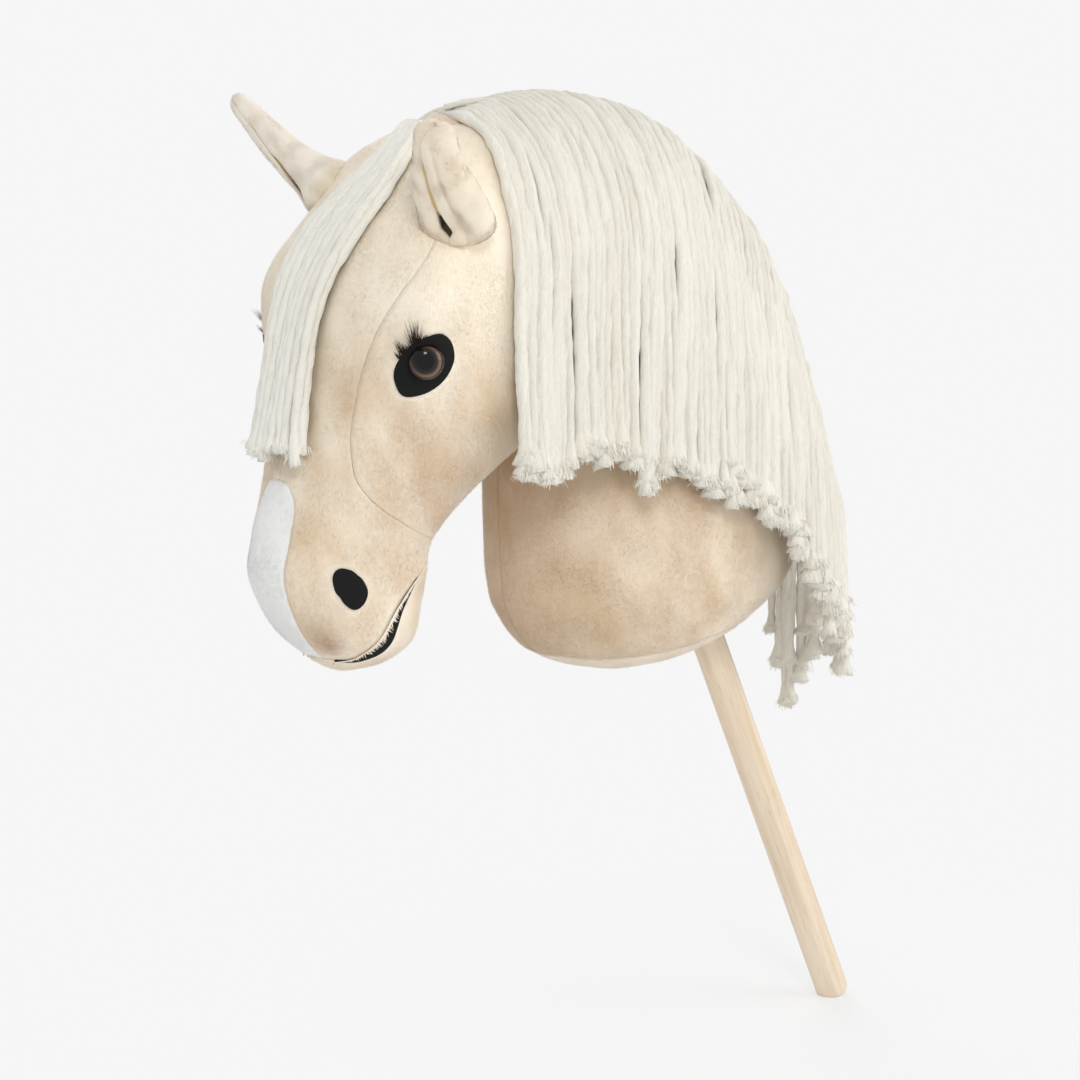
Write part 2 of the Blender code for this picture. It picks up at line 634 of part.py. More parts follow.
def ear_surface(side, along, across, depth):
    """Points of a rolled ear: a leaf curled nearly shut round its axis, closing at a blunt tip.

    along runs 0 to 1 from base to tip, across -1 to 1, and depth is how far inside the outer face.
    """
    base, tip, root_facing, tip_facing = (np.array(v, float) for v in EARS[side])
    axis = tip - base
    length = np.linalg.norm(axis)
    axis = axis / length
    turn = along[..., None]
    facing = root_facing * (1 - turn) + tip_facing * turn
    facing = facing - axis * (facing @ axis)[..., None]
    facing = facing / np.linalg.norm(facing, axis=-1, keepdims=True)
    sideways = np.cross(axis, facing)
    closing = np.clip((along - EAR_CLOSES) / (1 - EAR_CLOSES), 0, 1)
    half = EAR_HALF_WIDTH * through(EAR_SWELL, along) * np.sqrt(1 - closing**2)
    wide = np.maximum(half - depth, 0.15 * half)
    deep = np.maximum(half * EAR_DEPTH_SHARE - depth, 0.12 * half)
    angle = EAR_ROLL * across
    bend = EAR_BEND * np.sin(math.pi * along)
    return (base + axis * (along * length)[..., None] + sideways * (wide * np.sin(angle))[..., None]
            - facing * (deep * np.cos(angle) - bend)[..., None])


def ear_hinge(side):
    """Where an ear bends: a point of its root on the head's skin, in metres."""
    station, angle = EAR_HINGE
    return Vector(HEAD.at(station, SIGN[side] * angle) * METRES_PER_MM)


def build_ear(side, materials, head_cutter):
    """An ear's plush shell and its lining, relieved at the root so that it clears the head."""
    rows, columns = np.linspace(0.0, 0.985, EAR_ROWS), np.linspace(-1, 1, EAR_COLUMNS)
    along, across = np.meshgrid(rows, columns, indexing="ij")
    hinge = ear_hinge(side)
    layers = (("shell", 0.0, EAR_SHELL, 1.0, "plush"),
              ("lining", EAR_SHELL + EAR_LINING_GAP, EAR_LINING, EAR_LINING_REACH, "lining"))
    cutters = [head_cutter]
    for turn in (-EAR_SWING, EAR_SWING):
        turned_head = as_cutter(bpy.data.objects.new(f"head_turned_{side}_{turn:.1f}", head_cutter.data))
        bpy.context.collection.objects.link(turned_head)
        turned_head.matrix_world = (Matrix.Translation(hinge) @ Matrix.Rotation(turn, 4, "X")
                                    @ Matrix.Translation(-hinge))
        cutters.append(turned_head)
    for layer, near, thickness, reach, slot in layers:
        outer = ear_surface(side, along * reach, across, near)
        inner = ear_surface(side, along * reach, across, near + thickness)
        ear = sheet_solid(f"ear_{layer}_{side}", outer, inner, materials[slot])
        ear.data.transform(Matrix.Translation(-hinge))
        ear.location = hinge
        cut(ear, *cutters)


def half_width_map():
    """How far the head and neck reach sideways at each (x, z), on a grid of 3 mm cells."""
    cell, low = 3.0, np.array([-540.0, 180.0])
    wide = np.zeros((200, 190))
    for form in (HEAD, NECK):
        u = np.linspace(0, form.last, 500)[:, None]
        v = np.linspace(0, math.pi, 300)[None, :]
        spots = form.at(u, v).reshape(-1, 3)
        cells = np.floor((spots[:, [0, 2]] - low) / cell).astype(int)
        np.maximum.at(wide, (cells[:, 0], cells[:, 1]), -spots[:, 1])
    return cell, low, wide


class Drape:
    """Where a limp rope lies that is laid over the horse and left to hang."""

    def __init__(self):
        self.cell, self.low, self.wide = half_width_map()

    def reach(self, x, z):
        """The horse's half width at points (x, z)."""
        i = np.clip(((x - self.low[0]) / self.cell).astype(int), 1, self.wide.shape[0] - 2)
        j = np.clip(((z - self.low[1]) / self.cell).astype(int), 1, self.wide.shape[1] - 2)
        return np.max([self.wide[i + a, j + b] for a in (-1, 0, 1) for b in (-1, 0, 1)], axis=0)

    def path(self, root, hang, clearance):
        """Points from a root (x, y, z) to a hanging end (x, y, z), never inside the horse.

        The height falls slowly at first, x eases over to the hanging line, and the sideways reach is
        the most that the horse has had above, or a quarter round from the root, whichever is more.
        """
        count = 40 * ROPE_STEPS
        fine = np.linspace(0, 1, count + 1) ** 2.1
        z = root[2] + (hang[2] - root[2]) * fine
        fall = np.clip((root[2] - z) / (0.45 * (root[2] - hang[2])), 0, 1)
        x = root[0] + (hang[0] - root[0]) * np.sqrt(1 - (1 - fall) ** 2)
        skin = np.maximum.accumulate(self.reach(x, z)) + clearance
        bow = abs(root[1]) + (abs(hang[1]) - abs(root[1])) * np.sqrt(1 - (1 - fall) ** 2)
        y = np.maximum(skin, bow)
        y[0] = abs(root[1])
        pick = np.linspace(0, count, ROPE_STEPS + 1).astype(int)
        return np.stack([x, np.sign(root[1]) * y, z], -1)[pick]


def crest(share):
    """A point on the neck's crest, from the poll at 0 to low on the back at 1, and its way out."""
    u = CREST_START - CREST_REACH * share
    return NECK.at(u, math.pi), NECK.normal(u, math.pi)


def rope_sections(paths, index, outward):
    """Four-cornered sections along one rope, less its first, as wide as its neighbours leave room for.

    The corners follow those of the open side of a cell, and the outer face turns towards outward.
    """
    here = paths[index]
    spread = (paths[index + 1] - paths[index - 1]) / 2
    along = np.gradient(here, axis=0)
    along /= np.linalg.norm(along, axis=1, keepdims=True)
    spread -= along * (spread * along).sum(1, keepdims=True)
    rise = np.cross(along, spread)
    rise *= np.sign(rise[1] @ outward) / np.linalg.norm(rise, axis=1, keepdims=True)
    wide = spread[1:, None] * ROPE_SHARE / 2
    high = rise[1:, None] * ROPE_THICKNESS / 2
    forward = np.array([-1, -1, 1, 1])[:, None]
    upward = np.array([-1, 1, 1, -1])[:, None]
    return here[1:, None] + forward * wide + upward * high


def mane_end(side, share):
    """Where a mane rope's free end hangs, by its share of the way from the poll to the back."""
    around = np.clip((share - MANE_ROUNDS_AT) / (1 - MANE_ROUNDS_AT), 0, 1)
    x = float(through(MANE_LINE, share))
    y = MANE_HALF_WIDTH * math.sqrt(max(1 - around**MANE_ROUNDNESS, 0)) + MANE_BACK_WIDTH
    z = float(through(MANE_HEM, share))
    if side == "right":
        x += RIGHT_REACH * share**4
        z -= RIGHT_DROP * share**2
    return x, y, z


def build_mane(materials):
    """The rope mane: a fringe along each side of the crest, in slices, falling to both sides."""
    drape = Drape()
    per_group = MANE_ROPES // MANE_GROUPS
    for side, toward in SIDES:
        sign = -toward
        paths = []
        for k in range(-1, MANE_ROPES + 1):
            share = (k + 0.5) / MANE_ROPES
            spot, out = crest(share)
            spot = spot + out * (TAPE_LIFT + TAPE_HEIGHT / 2)
            root = (spot[0], sign * TAPE_WIDTH, spot[2])
            paths.append(drape.path(root, mane_end(side, share), ROPE_THICKNESS / 2 + ROPE_CLEARANCE))
        paths = np.array(paths)
        inner, outer = np.array([0, sign * TAPE_GAP, 0]), np.array([0, sign * TAPE_WIDTH, 0])
        for group in range(MANE_GROUPS):
            first, last = group * per_group, (group + 1) * per_group
            trimmed = np.arange(first, last + 1.0)
            trimmed[[0, -1]] += (0.06, -0.06)
            bar = []
            for k in trimmed:
                spot, out = crest(k / MANE_ROPES)
                bottom, top = spot + out * TAPE_LIFT, spot + out * (TAPE_LIFT + TAPE_HEIGHT)
                bar.append([bottom + inner, bottom + outer, top + outer, top + inner])
            way_out = crest((first + last) / 2 / MANE_ROPES)[1] + np.array([0, sign, 0])
            strands = [rope_sections(paths, k, way_out) for k in range(first + 1, last + 1)]
            comb(f"mane_{side}_{group + 1}", bar, strands, materials["rope"])


def build_forelock(materials):
    """The forelock: a short fringe at the poll whose ropes fall down the forehead."""
    station = np.array(FORELOCK_STATIONS)
    share = np.linspace(0, 1, len(station))
    paths = []
    for k in range(-1, FORELOCK_ROPES + 1):
        offset = (k - (FORELOCK_ROPES - 1) / 2) * FORELOCK_PITCH
        across = offset * (0.55 + 0.45 * np.minimum(share * 2.5, 1))
        v = -np.arcsin(np.clip(across / HEAD.row(station)[:, 4], -0.95, 0.95)) / 1.35
        path = HEAD.off(station, v, ROPE_THICKNESS / 2 + ROPE_CLEARANCE)
        path += HEAD.normal(station, v) * (FORELOCK_FLARE * share)[:, None]
        path[:, 1] = across
        paths.append(path)
    paths = np.array(paths)
    back, lift = np.array([7.0, 0, 4.5]), np.array([-1.3, 0, 2.0])
    bar = []
    for spot in (paths[1:, 0] + paths[:-1, 0]) / 2:
        front = spot - back * 0.15
        bar.append([front + back - lift, front - lift, front + lift, front + back + lift])
    strands = [rope_sections(paths, k, lift) for k in range(1, FORELOCK_ROPES + 1)]
    forelock = comb("forelock", bar, strands, materials["rope"])
    place = Vector(FORELOCK_HINGE) * METRES_PER_MM
    forelock.data.transform(Matrix.Translation(-place))
    forelock.location = place


def main():
    """Builds every piece of the horse."""
    clear_scene()
    materials = {
        "wood": finish("Beech", (0.68, 0.52, 0.31), 0.5),
        "sleeve": finish("Sleeve plastic", (0.55, 0.53, 0.48), 0.5),
        "filling": finish("Polyester filling", (0.85, 0.84, 0.80), 0.95),
        "plush": finish("Cream plush", (0.77, 0.61, 0.45), 0.9),
        "base": finish("Pale plush", (0.80, 0.68, 0.53), 0.9),
        "lining": finish("Ear lining", (0.74, 0.55, 0.36), 0.9),
        "blaze": finish("White plush", (0.82, 0.81, 0.78), 0.9),
        "black": finish("Black felt", (0.008, 0.008, 0.01), 0.9),
        "eye": finish("Eye", (0.03, 0.015, 0.01), 0.1),
        "washer": finish("Washer plastic", (0.7, 0.7, 0.7), 0.5),
        "rope": finish("Cotton rope", (0.82, 0.79, 0.70), 0.9),
    }
    head_cutter = as_cutter(loft_solid("head_space", HEAD, HEAD_CLEARANCE, 24, 32, materials["filling"]))
    build_stick(materials)
    build_sleeve(materials)
    build_neck(materials, head_cutter)
    filling, cheeks = build_head(materials)
    build_features(materials, filling, cheeks)
    for side in EARS:
        build_ear(side, materials, head_cutter)
    build_mane(materials)
    build_forelock(materials)


main()
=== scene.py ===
"""Looks of a plush hobby horse: sewn panels with a short pile, a cotton rope mane and a round wooden stick.

Sizes are millimetres, in the frame of the CAD part, until a surface becomes a mesh in metres.
The horse faces -X, its left side is -Y, and the stick's foot is the origin.
"""

import logging
import math
from dataclasses import dataclass, field
from enum import Enum
from typing import Callable, Sequence

import bpy
import numpy as np
from mathutils import Matrix


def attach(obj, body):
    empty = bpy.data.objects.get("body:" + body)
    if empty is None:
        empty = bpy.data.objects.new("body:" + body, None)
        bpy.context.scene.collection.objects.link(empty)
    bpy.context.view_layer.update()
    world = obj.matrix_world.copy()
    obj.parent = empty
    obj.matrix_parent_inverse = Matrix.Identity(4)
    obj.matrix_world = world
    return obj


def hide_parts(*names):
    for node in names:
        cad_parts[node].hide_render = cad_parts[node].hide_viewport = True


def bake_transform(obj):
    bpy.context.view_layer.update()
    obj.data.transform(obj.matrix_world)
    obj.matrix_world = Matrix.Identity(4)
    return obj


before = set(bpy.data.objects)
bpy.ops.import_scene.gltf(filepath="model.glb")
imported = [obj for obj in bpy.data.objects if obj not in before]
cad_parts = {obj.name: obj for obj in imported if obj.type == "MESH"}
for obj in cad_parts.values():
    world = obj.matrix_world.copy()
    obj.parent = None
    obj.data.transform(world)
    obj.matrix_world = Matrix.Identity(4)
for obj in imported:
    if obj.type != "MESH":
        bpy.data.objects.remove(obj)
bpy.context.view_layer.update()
Array = np.ndarray
Material = bpy.types.Material
Triple = tuple[float, float, float]
Colour = tuple[float, float, float]
Pairs = tuple[tuple[float, float], ...]
MM = 0.001
log = logging.getLogger("hobby_horse")


class Side(Enum):
    """The two sides of the horse, with the sign of a side's angles and of its -Y."""

    LEFT = 1
    RIGHT = -1

    @property
    def word(self) -> str:
        """The side's name as the nodes use it."""
        return self.name.lower()


class Body(Enum):
    """The bodies of the CAD part that a piece can ride on."""

    STICK = "stick"
    HORSE = "horse"
    EAR_LEFT = "ear_left"
    EAR_RIGHT = "ear_right"
    FORELOCK = "forelock"


def linear(red: float, green: float, blue: float) -> tuple[float, float, float, float]:
    """A colour given as 0 to 255 on screen, as the linear colour that a shader takes, with an alpha of 1."""
    parts = (np.array([red, green, blue]) / 255.0 + 0.055) / 1.055
    return (*(float(part**2.4) for part in parts), 1.0)


# Shaders


class Value:
    """A socket that takes part in Python arithmetic; each operation adds a Math node."""

    def __init__(self, tree: bpy.types.NodeTree, socket: bpy.types.NodeSocket) -> None:
        """Wraps a socket of a tree."""
        self.tree = tree
        self.socket = socket

    def math(self, operation: str, *others: "Value | float", clamp: bool = False) -> "Value":
        """Adds one Math node that starts from this value.

        Args:
            operation: The Math node's operation.
            others: Its further inputs.
            clamp: Whether the result is kept between 0 and 1.

        Returns:
            The node's result.
        """
        node = self.tree.nodes.new("ShaderNodeMath")
        node.operation = operation
        node.use_clamp = clamp
        for slot, given in enumerate((self, *others)):
            if isinstance(given, Value):
                self.tree.links.new(given.socket, node.inputs[slot])
            else:
                node.inputs[slot].default_value = float(given)
        return Value(self.tree, node.outputs[0])

    def __add__(self, other: "Value | float") -> "Value":
        """The sum."""
        return self.math("ADD", other)

    __radd__ = __add__

    def __mul__(self, other: "Value | float") -> "Value":
        """The product."""
        return self.math("MULTIPLY", other)

    __rmul__ = __mul__

    def __sub__(self, other: "Value | float") -> "Value":
        """The difference."""
        return self.math("SUBTRACT", other)

    def __rsub__(self, other: float) -> "Value":
        """The difference from a number."""
        return (self * -1.0) + other

    def __pow__(self, power: float) -> "Value":
        """The power, with what is below 0 taken as 0."""
        return self.math("MAXIMUM", 0.0).math("POWER", power)

    def clamped(self) -> "Value":
        """The value kept between 0 and 1."""
        return self.math("ADD", 0.0, clamp=True)

    def over(self, start: float, gain: float) -> "Value":
        """How far the value is past a start, times a gain, kept between 0 and 1."""
        return ((self - start) * gain).clamped()


class Nodes:
    """A tree of shader nodes, of a material or of the world."""

    def __init__(self, tree: bpy.types.NodeTree) -> None:
        """Wraps a tree."""
        self.tree = tree

    def node(self, kind: str, settings: dict | None = None, output: int | str = 0, **inputs: object) -> Value:
        """Adds any node but a Math node.

        Args:
            kind: The node's type, without the words ShaderNode.
            settings: Its properties; "stops" are a ramp's (place, colour) pairs.
            output: The output that is wanted.
            inputs: Values or links of its sockets, by name with _ for a space, or i0, i1 and so on.

        Returns:
            The wanted output.
        """
        made = self.tree.nodes.new("ShaderNode" + kind)
        for key, setting in (settings or {}).items():
            if key == "stops":
                ramp = made.color_ramp
                while len(ramp.elements) < len(setting):
                    ramp.elements.new(0.5)
                for element, (place, colour) in zip(ramp.elements, setting):
                    element.position = place
                    element.color = linear(*colour)
            else:
                setattr(made, key, setting)
        for key, given in inputs.items():
            numbered = key[0] == "i" and key[1:].isdigit()
            self.feed(made.inputs[int(key[1:])] if numbered else made.inputs[key.replace("_", " ")], given)
        return Value(self.tree, made.outputs[output])

    def feed(self, socket: bpy.types.NodeSocket, given: object) -> None:
        """Links a value to a socket, or sets a plain number or colour there."""
        if isinstance(given, Value):
            self.tree.links.new(given.socket, socket)
        else:
            socket.default_value = given

    def seen_by_eye(self) -> Value:
        """1 for a ray from the camera, from a gloss or from glass.

        Returns:
            The value.
        """
        path = self.tree.nodes.new("ShaderNodeLightPath")
        kinds = "Camera", "Glossy", "Transmission"
        camera, gloss, glass = (Value(self.tree, path.outputs[f"Is {kind} Ray"]) for kind in kinds)
        return (camera + gloss + glass).clamped()


class Dressing(Nodes):
    """A material under construction, with a Principled shader."""

    def __init__(self, name: str) -> None:
        """Starts a material with its Principled shader."""
        self.material = bpy.data.materials.new(name)
        self.material.use_nodes = True
        super().__init__(self.material.node_tree)
        self.shader = self.tree.nodes["Principled BSDF"]

    def place(self) -> Value:
        """Object coordinates, in metres in the CAD frame."""
        return self.node("TexCoord", output="Object")

    def attribute(self, name: str, output: str = "Fac") -> Value:
        """An attribute of the mesh."""
        return self.node("Attribute", {"attribute_name": name}, output=output)

    def noise(self, where: Value, scale: float, detail: float = 3.0, roughness: float = 0.5) -> Value:
        """Smooth noise, about 0.5.

        Args:
            where: The coordinates.
            scale: Patches to a metre, or to a unit of the coordinates.
            detail: Finer layers.
            roughness: How strong the finer layers are.

        Returns:
            The noise.
        """
        return self.node("TexNoise", Vector=where, Scale=scale, Detail=detail, Roughness=roughness)

    def stretched(self, where: Value, scale: Sequence[float], turn: Sequence[float] = (0, 0, 0)) -> Value:
        """Coordinates turned and then scaled.

        Args:
            where: The coordinates.
            scale: The scale along each axis.
            turn: The turn about each axis, in radians.

        Returns:
            The new coordinates.
        """
        turned = self.node("Mapping", i0=where, Rotation=turn)
        return self.node("VectorMath", {"operation": "MULTIPLY"}, i0=turned, i1=tuple(scale))

    def mix(self, share: Value, first: Value | Colour, second: Value | Colour) -> Value:
        """A colour between two, each a link or 0 to 255 on screen, by a share from 0 to 1."""
        first, second = (one if isinstance(one, Value) else linear(*one) for one in (first, second))
        return self.node("Mix", {"data_type": "RGBA"}, output=2, i0=share, i6=first, i7=second)

    def finish(self, bump: tuple[Value, float, float] | None = None, **sockets: object) -> Material:
        """Feeds the shader and gives the finished material.

        Args:
            bump: A height with its distance in metres and its strength.
            sockets: Values or links of the shader's sockets, by name with _ for a space.

        Returns:
            The material.
        """
        if bump:
            height, distance, strength = bump
            sockets["Normal"] = self.node("Bump", Height=height, Distance=distance, Strength=strength)
        for key, given in sockets.items():
            self.feed(self.shader.inputs[key.replace("_", " ")], given)
        return self.material

@dataclass(frozen=True)
class Plush:
    """Short pile fabric: patches where the nap was brushed another way, and a soft sheen."""

    name: str
    colour: Colour
    brushed: Colour
    dark: Colour = (178, 143, 108)
    pale: Colour = (240, 234, 226)
    patches: float = 30.0
    sheen: float = 0.25

    def material(self) -> Material:
        """Builds the material: brushed patches, airbrushed places and painted light and shade by attribute,
        and fine pile bump.

        Returns:
            The material.
        """
        made = Dressing(self.name)
        where, tone = made.place(), made.attribute("tone")
        wide = made.noise(made.stretched(where, (1.0, 0.8, 0.5), (0.0, 0.35, 0.0)), self.patches, 2.0, 0.5)
        base = made.mix(wide.over(0.38, 3.4), self.colour, self.brushed)
        fine = made.noise(where, 900.0, 2.0, 0.6)
        base = made.mix(fine.over(0.35, 1.2) * 0.05, base, self.dark)
        # The tone attribute darkens towards the dark colour and pales towards the pale one: the fabric's
        # airbrushed tan and pale rings, and the painted shade and painted light that the pieces set.
        base = made.mix((tone * -1.0).clamped(), base, self.dark)
        base = made.mix(tone.clamped(), base, self.pale)
        return made.finish(
            (made.noise(where, 700.0, 3.0, 0.6), 0.0004, 0.25), Base_Color=base, Roughness=0.92,
            Sheen_Weight=self.sheen, Sheen_Roughness=0.45, Specular_IOR_Level=0.2,
        )


@dataclass(frozen=True)
class Cotton:
    """Soft twisted cotton yarn, whose fibres run round the rope with its twist."""

    name: str
    colour: Colour
    shade: Colour

    def material(self) -> Material:
        """Builds the material: lengthwise fibres with painted shade between them, and ropes that differ a
        little.

        Returns:
            The material.
        """
        made = Dressing(self.name)
        fibre = made.noise(made.attribute("yarn", "Vector"), 3.2, 3.0, 0.65)
        # The darker colour is painted shade between the fibres; the tone differs at random from rope to rope.
        share = fibre.over(0.34, 1.5) * 0.55 + made.attribute("tone") * 0.4
        return made.finish(
            (fibre, 0.0015, 0.9), Base_Color=made.mix(share.clamped(), self.colour, self.shade),
            Roughness=0.9, Sheen_Weight=0.2, Specular_IOR_Level=0.2,
        )


@dataclass(frozen=True)
class Felt:
    """Black felt: matt, with matted fibres."""

    name: str
    colour: Colour = (18, 18, 19)
    fibre: Colour = (30, 29, 29)

    def material(self) -> Material:
        """Builds the material: matted fibres by fine noise.

        Returns:
            The material.
        """
        made = Dressing(self.name)
        fibres = made.noise(made.stretched(made.place(), (1.0, 1.0, 0.4), (0.5, 0.3, 0.8)), 1600.0, 4.0, 0.7)
        return made.finish(
            (fibres, 0.0005, 0.6), Base_Color=made.mix(fibres.over(0.4, 1.6), self.colour, self.fibre),
            Roughness=0.88, Specular_IOR_Level=0.25,
        )


@dataclass(frozen=True)
class Glass:
    """A domed eye seen through its clear front: black pupil, brown iris and dark rim."""

    name: str
    rings: tuple[tuple[float, Colour], ...] = (
        (0.0, (6, 6, 7)), (0.48, (8, 8, 9)), (0.56, (30, 27, 27)), (0.72, (48, 42, 40)),
        (0.80, (112, 86, 68)), (0.89, (120, 92, 74)), (0.94, (34, 24, 19)), (1.0, (12, 10, 9)),
    )
    # The colour of the iris's painted shade, away from its painted lit side.
    shadow: Colour = (9, 7, 7)

    def material(self) -> Material:
        """Builds the material from the distance to the eye's own middle, kept in an attribute.

        Returns:
            The material.
        """
        made = Dressing(self.name)
        ring = made.node("ValToRGB", {"stops": self.rings}, i0=made.attribute("radius"))
        streaks = made.noise(made.attribute("iris", "Vector"), 9.0, 2.0)
        # Painted light and shade on the iris: paler on the side that faces the eye's lit direction, by the
        # glow attribute, and towards the shadow colour away from it; the streaks are the iris's own.
        shade = (streaks.over(0.3, 0.8) * 0.4 + (0.35 - made.attribute("glow") * 0.75)).clamped()
        return made.finish(
            Base_Color=made.mix(shade, ring, self.shadow),
            Roughness=made.noise(made.place(), 300.0) * 0.03 + 0.03, IOR=1.33,
        )


@dataclass(frozen=True)
class Beech:
    """Sanded pale wood with fine grain along the stick and a few darker streaks."""

    name: str
    lean: float
    colour: Colour = (234, 217, 194)
    late: Colour = (216, 193, 163)
    pores: Colour = (192, 163, 130)
    flecks: Colour = (182, 149, 113)

    def material(self) -> Material:
        """Builds the material: broad bands, fine pores and short flecks, all drawn out along the stick.

        Returns:
            The material.
        """
        made = Dressing(self.name)
        upright = made.node("Mapping", i0=made.place(), Rotation=(0.0, self.lean, 0.0))
        band, pore, fleck = (
            made.noise(made.stretched(upright, (1.0, 1.0, drawn)), *grain)
            for drawn, *grain in ((0.05, 130.0, 3.0, 0.55), (0.03, 1500.0, 2.0, 0.6), (0.12, 420.0, 2.0, 0.5))
        )
        colour = made.mix(band.over(0.38, 3.0), self.colour, self.late)
        colour = made.mix(pore.over(0.52, 4.0) * 0.35, colour, self.pores)
        colour = made.mix(fleck.over(0.62, 7.0) * 0.4, colour, self.flecks)
        return made.finish(
            (pore, 0.0002, 0.4), Base_Color=colour, Roughness=(band - 0.5) * 0.12 + 0.5, Coat_Weight=0.08,
        )


@dataclass(frozen=True)
class Moulded:
    """Plain moulded plastic of the hidden parts, a little uneven."""

    name: str
    colour: Colour
    cloudy: Colour = (120, 116, 110)

    def material(self) -> Material:
        """Builds the material.

        Returns:
            The material.
        """
        made = Dressing(self.name)
        cloud = made.noise(made.place(), 60.0)
        return made.finish(
            (made.noise(made.place(), 2500.0), 0.0001, 0.3),
            Base_Color=made.mix(cloud * 0.3, self.colour, self.cloudy), Roughness=cloud * 0.2 + 0.4,
        )


# Surfaces


@dataclass
class Surface:
    """Points in millimetres with their faces, and values for each point by name."""

    points: Array
    quads: Array = field(default_factory=lambda: np.zeros((0, 4), int))
    corners: Array = field(default_factory=lambda: np.zeros((0, 3), int))
    values: dict[str, Array] = field(default_factory=dict)

    @classmethod
    def grid(cls, points: Array, closed: bool = False, **values: Array) -> "Surface":
        """A sheet over a grid of points.

        Args:
            points: The points, rows by columns by 3, with the faces' outside where rows cross columns.
            closed: Whether the last column joins the first.
            values: Values on the same grid.

        Returns:
            The sheet.
        """
        rows, columns = points.shape[:2]
        index = np.arange(rows * columns).reshape(rows, columns)
        right = np.roll(index, -1, 1) if closed else index[:, 1:]
        left = index if closed else index[:, :-1]
        quads = np.stack([left[:-1], right[:-1], right[1:], left[1:]], -1).reshape(-1, 4)
        flat = {name: np.reshape(value, (rows * columns, -1)) for name, value in values.items()}
        return cls(points.reshape(-1, 3), quads, values=flat)

    @classmethod
    def shell(cls, outer: Array, inner: Array, **values: Array) -> "Surface":
        """A closed sheet with a thickness, between two grids of points.

        Args:
            outer: The outside, rows by columns by 3.
            inner: The inside, of the same size.
            values: Values on the same grid, for both faces.

        Returns:
            The closed sheet, whose rims are joined all the way round.
        """
        rows, columns = outer.shape[:2]
        count = rows * columns
        index = np.arange(count).reshape(rows, columns)
        face = np.stack([index[:-1, :-1], index[:-1, 1:], index[1:, 1:], index[1:, :-1]], -1).reshape(-1, 4)
        rim = np.concatenate([index[0], index[1:, -1], index[-1, -2::-1], index[-2:0:-1, 0]])
        after = np.roll(rim, -1)
        walls = np.stack([after, rim, rim + count, after + count], -1)
        flat = {name: np.tile(np.reshape(value, (count, -1)), (2, 1)) for name, value in values.items()}
        points = np.concatenate([outer.reshape(-1, 3), inner.reshape(-1, 3)])
        return cls(points, np.concatenate([face, face[:, ::-1] + count, walls]), values=flat)

    @classmethod
    def joined(cls, pieces: Sequence["Surface"]) -> "Surface":
        """Several surfaces as one. A value that one of them lacks is 0 there.

        Args:
            pieces: The surfaces.

        Returns:
            The joined surface.
        """
        starts = np.cumsum([0] + [len(piece.points) for piece in pieces])[:-1]
        widths = {name: value.shape[1] for piece in pieces for name, value in piece.values.items()}
        values = {}
        for name, width in widths.items():
            parts = [piece.values.get(name, np.zeros((len(piece.points), width))) for piece in pieces]
            values[name] = np.concatenate(parts)
        return cls(
            np.concatenate([piece.points for piece in pieces]),
            np.concatenate([piece.quads + start for piece, start in zip(pieces, starts)]),
            np.concatenate([piece.corners + start for piece, start in zip(pieces, starts)]),
            values,
        )

    def turned_out(self, flip: bool) -> "Surface":
        """The same surface with its faces turned over where asked, for mirrored sides."""
        if flip:
            self.quads = self.quads[:, ::-1]
            self.corners = self.corners[:, ::-1]
        return self

    def build(self, name: str, material: Material) -> bpy.types.Object:
        """Makes the mesh object, at the origin, with its place in its mesh.

        Args:
            name: The object's name.
            material: Its material.

        Returns:
            The object. A value named "normal" becomes the mesh's own normals.
        """
        mesh = bpy.data.meshes.new(name)
        mesh.vertices.add(len(self.points))
        mesh.vertices.foreach_set("co", (self.points * MM).astype(np.float32).ravel())
        loops = np.concatenate([self.quads.ravel(), self.corners.ravel()])
        sizes = np.repeat([4, 3], [len(self.quads), len(self.corners)])
        mesh.loops.add(len(loops))
        mesh.loops.foreach_set("vertex_index", loops.astype(np.int32))
        mesh.polygons.add(len(sizes))
        mesh.polygons.foreach_set("loop_start", (np.cumsum(sizes) - sizes).astype(np.int32))
        mesh.update(calc_edges=True)
        mesh.polygons.foreach_set("use_smooth", np.ones(len(sizes), bool))
        for key, value in self.values.items():
            if key != "normal":
                kind, part = ("FLOAT_VECTOR", "vector") if value.shape[1] == 3 else ("FLOAT", "value")
                layer = mesh.attributes.new(key, kind, "POINT")
                layer.data.foreach_set(part, value.astype(np.float32).ravel())
        if "normal" in self.values:
            mesh.normals_split_custom_set_from_vertices(self.values["normal"].tolist())
        mesh.materials.append(material)
        log.info("%s: %d points, %d faces", name, len(self.points), len(sizes))
        return add_object(name, mesh)


def add_object(name: str, data: bpy.types.ID) -> bpy.types.Object:
    """Adds an object with the given data to the scene."""
    made = bpy.data.objects.new(name, data)
    bpy.context.scene.collection.objects.link(made)
    return made


def unit(vectors: Array) -> Array:
    """Vectors scaled to a length of 1."""
    return vectors / np.maximum(np.linalg.norm(vectors, axis=-1, keepdims=True), 1e-9)


def ripple(points: Array, length: float, seed: int) -> Array:
    """Smooth unevenness: the mean of eight sine waves in fixed random directions.

    Args:
        points: Where it is wanted, in millimetres.
        length: The waves' length in millimetres.
        seed: Which waves.

    Returns:
        A value from about -1 to 1 for each point.
    """
    dice = np.random.default_rng(seed)
    ways = unit(dice.normal(size=(8, 3))) * (2 * math.pi / length) * dice.uniform(0.7, 1.4, (8, 1))
    phase = dice.uniform(0, 2 * math.pi, 8)
    return np.sin(points @ ways.T + phase).mean(-1) * 1.8


def smooth(value: Array) -> Array:
    """Eases from 0 to 1: 3 t squared less 2 t cubed, for t kept between 0 and 1."""
    t = np.clip(value, 0, 1)
    return t * t * (3 - 2 * t)


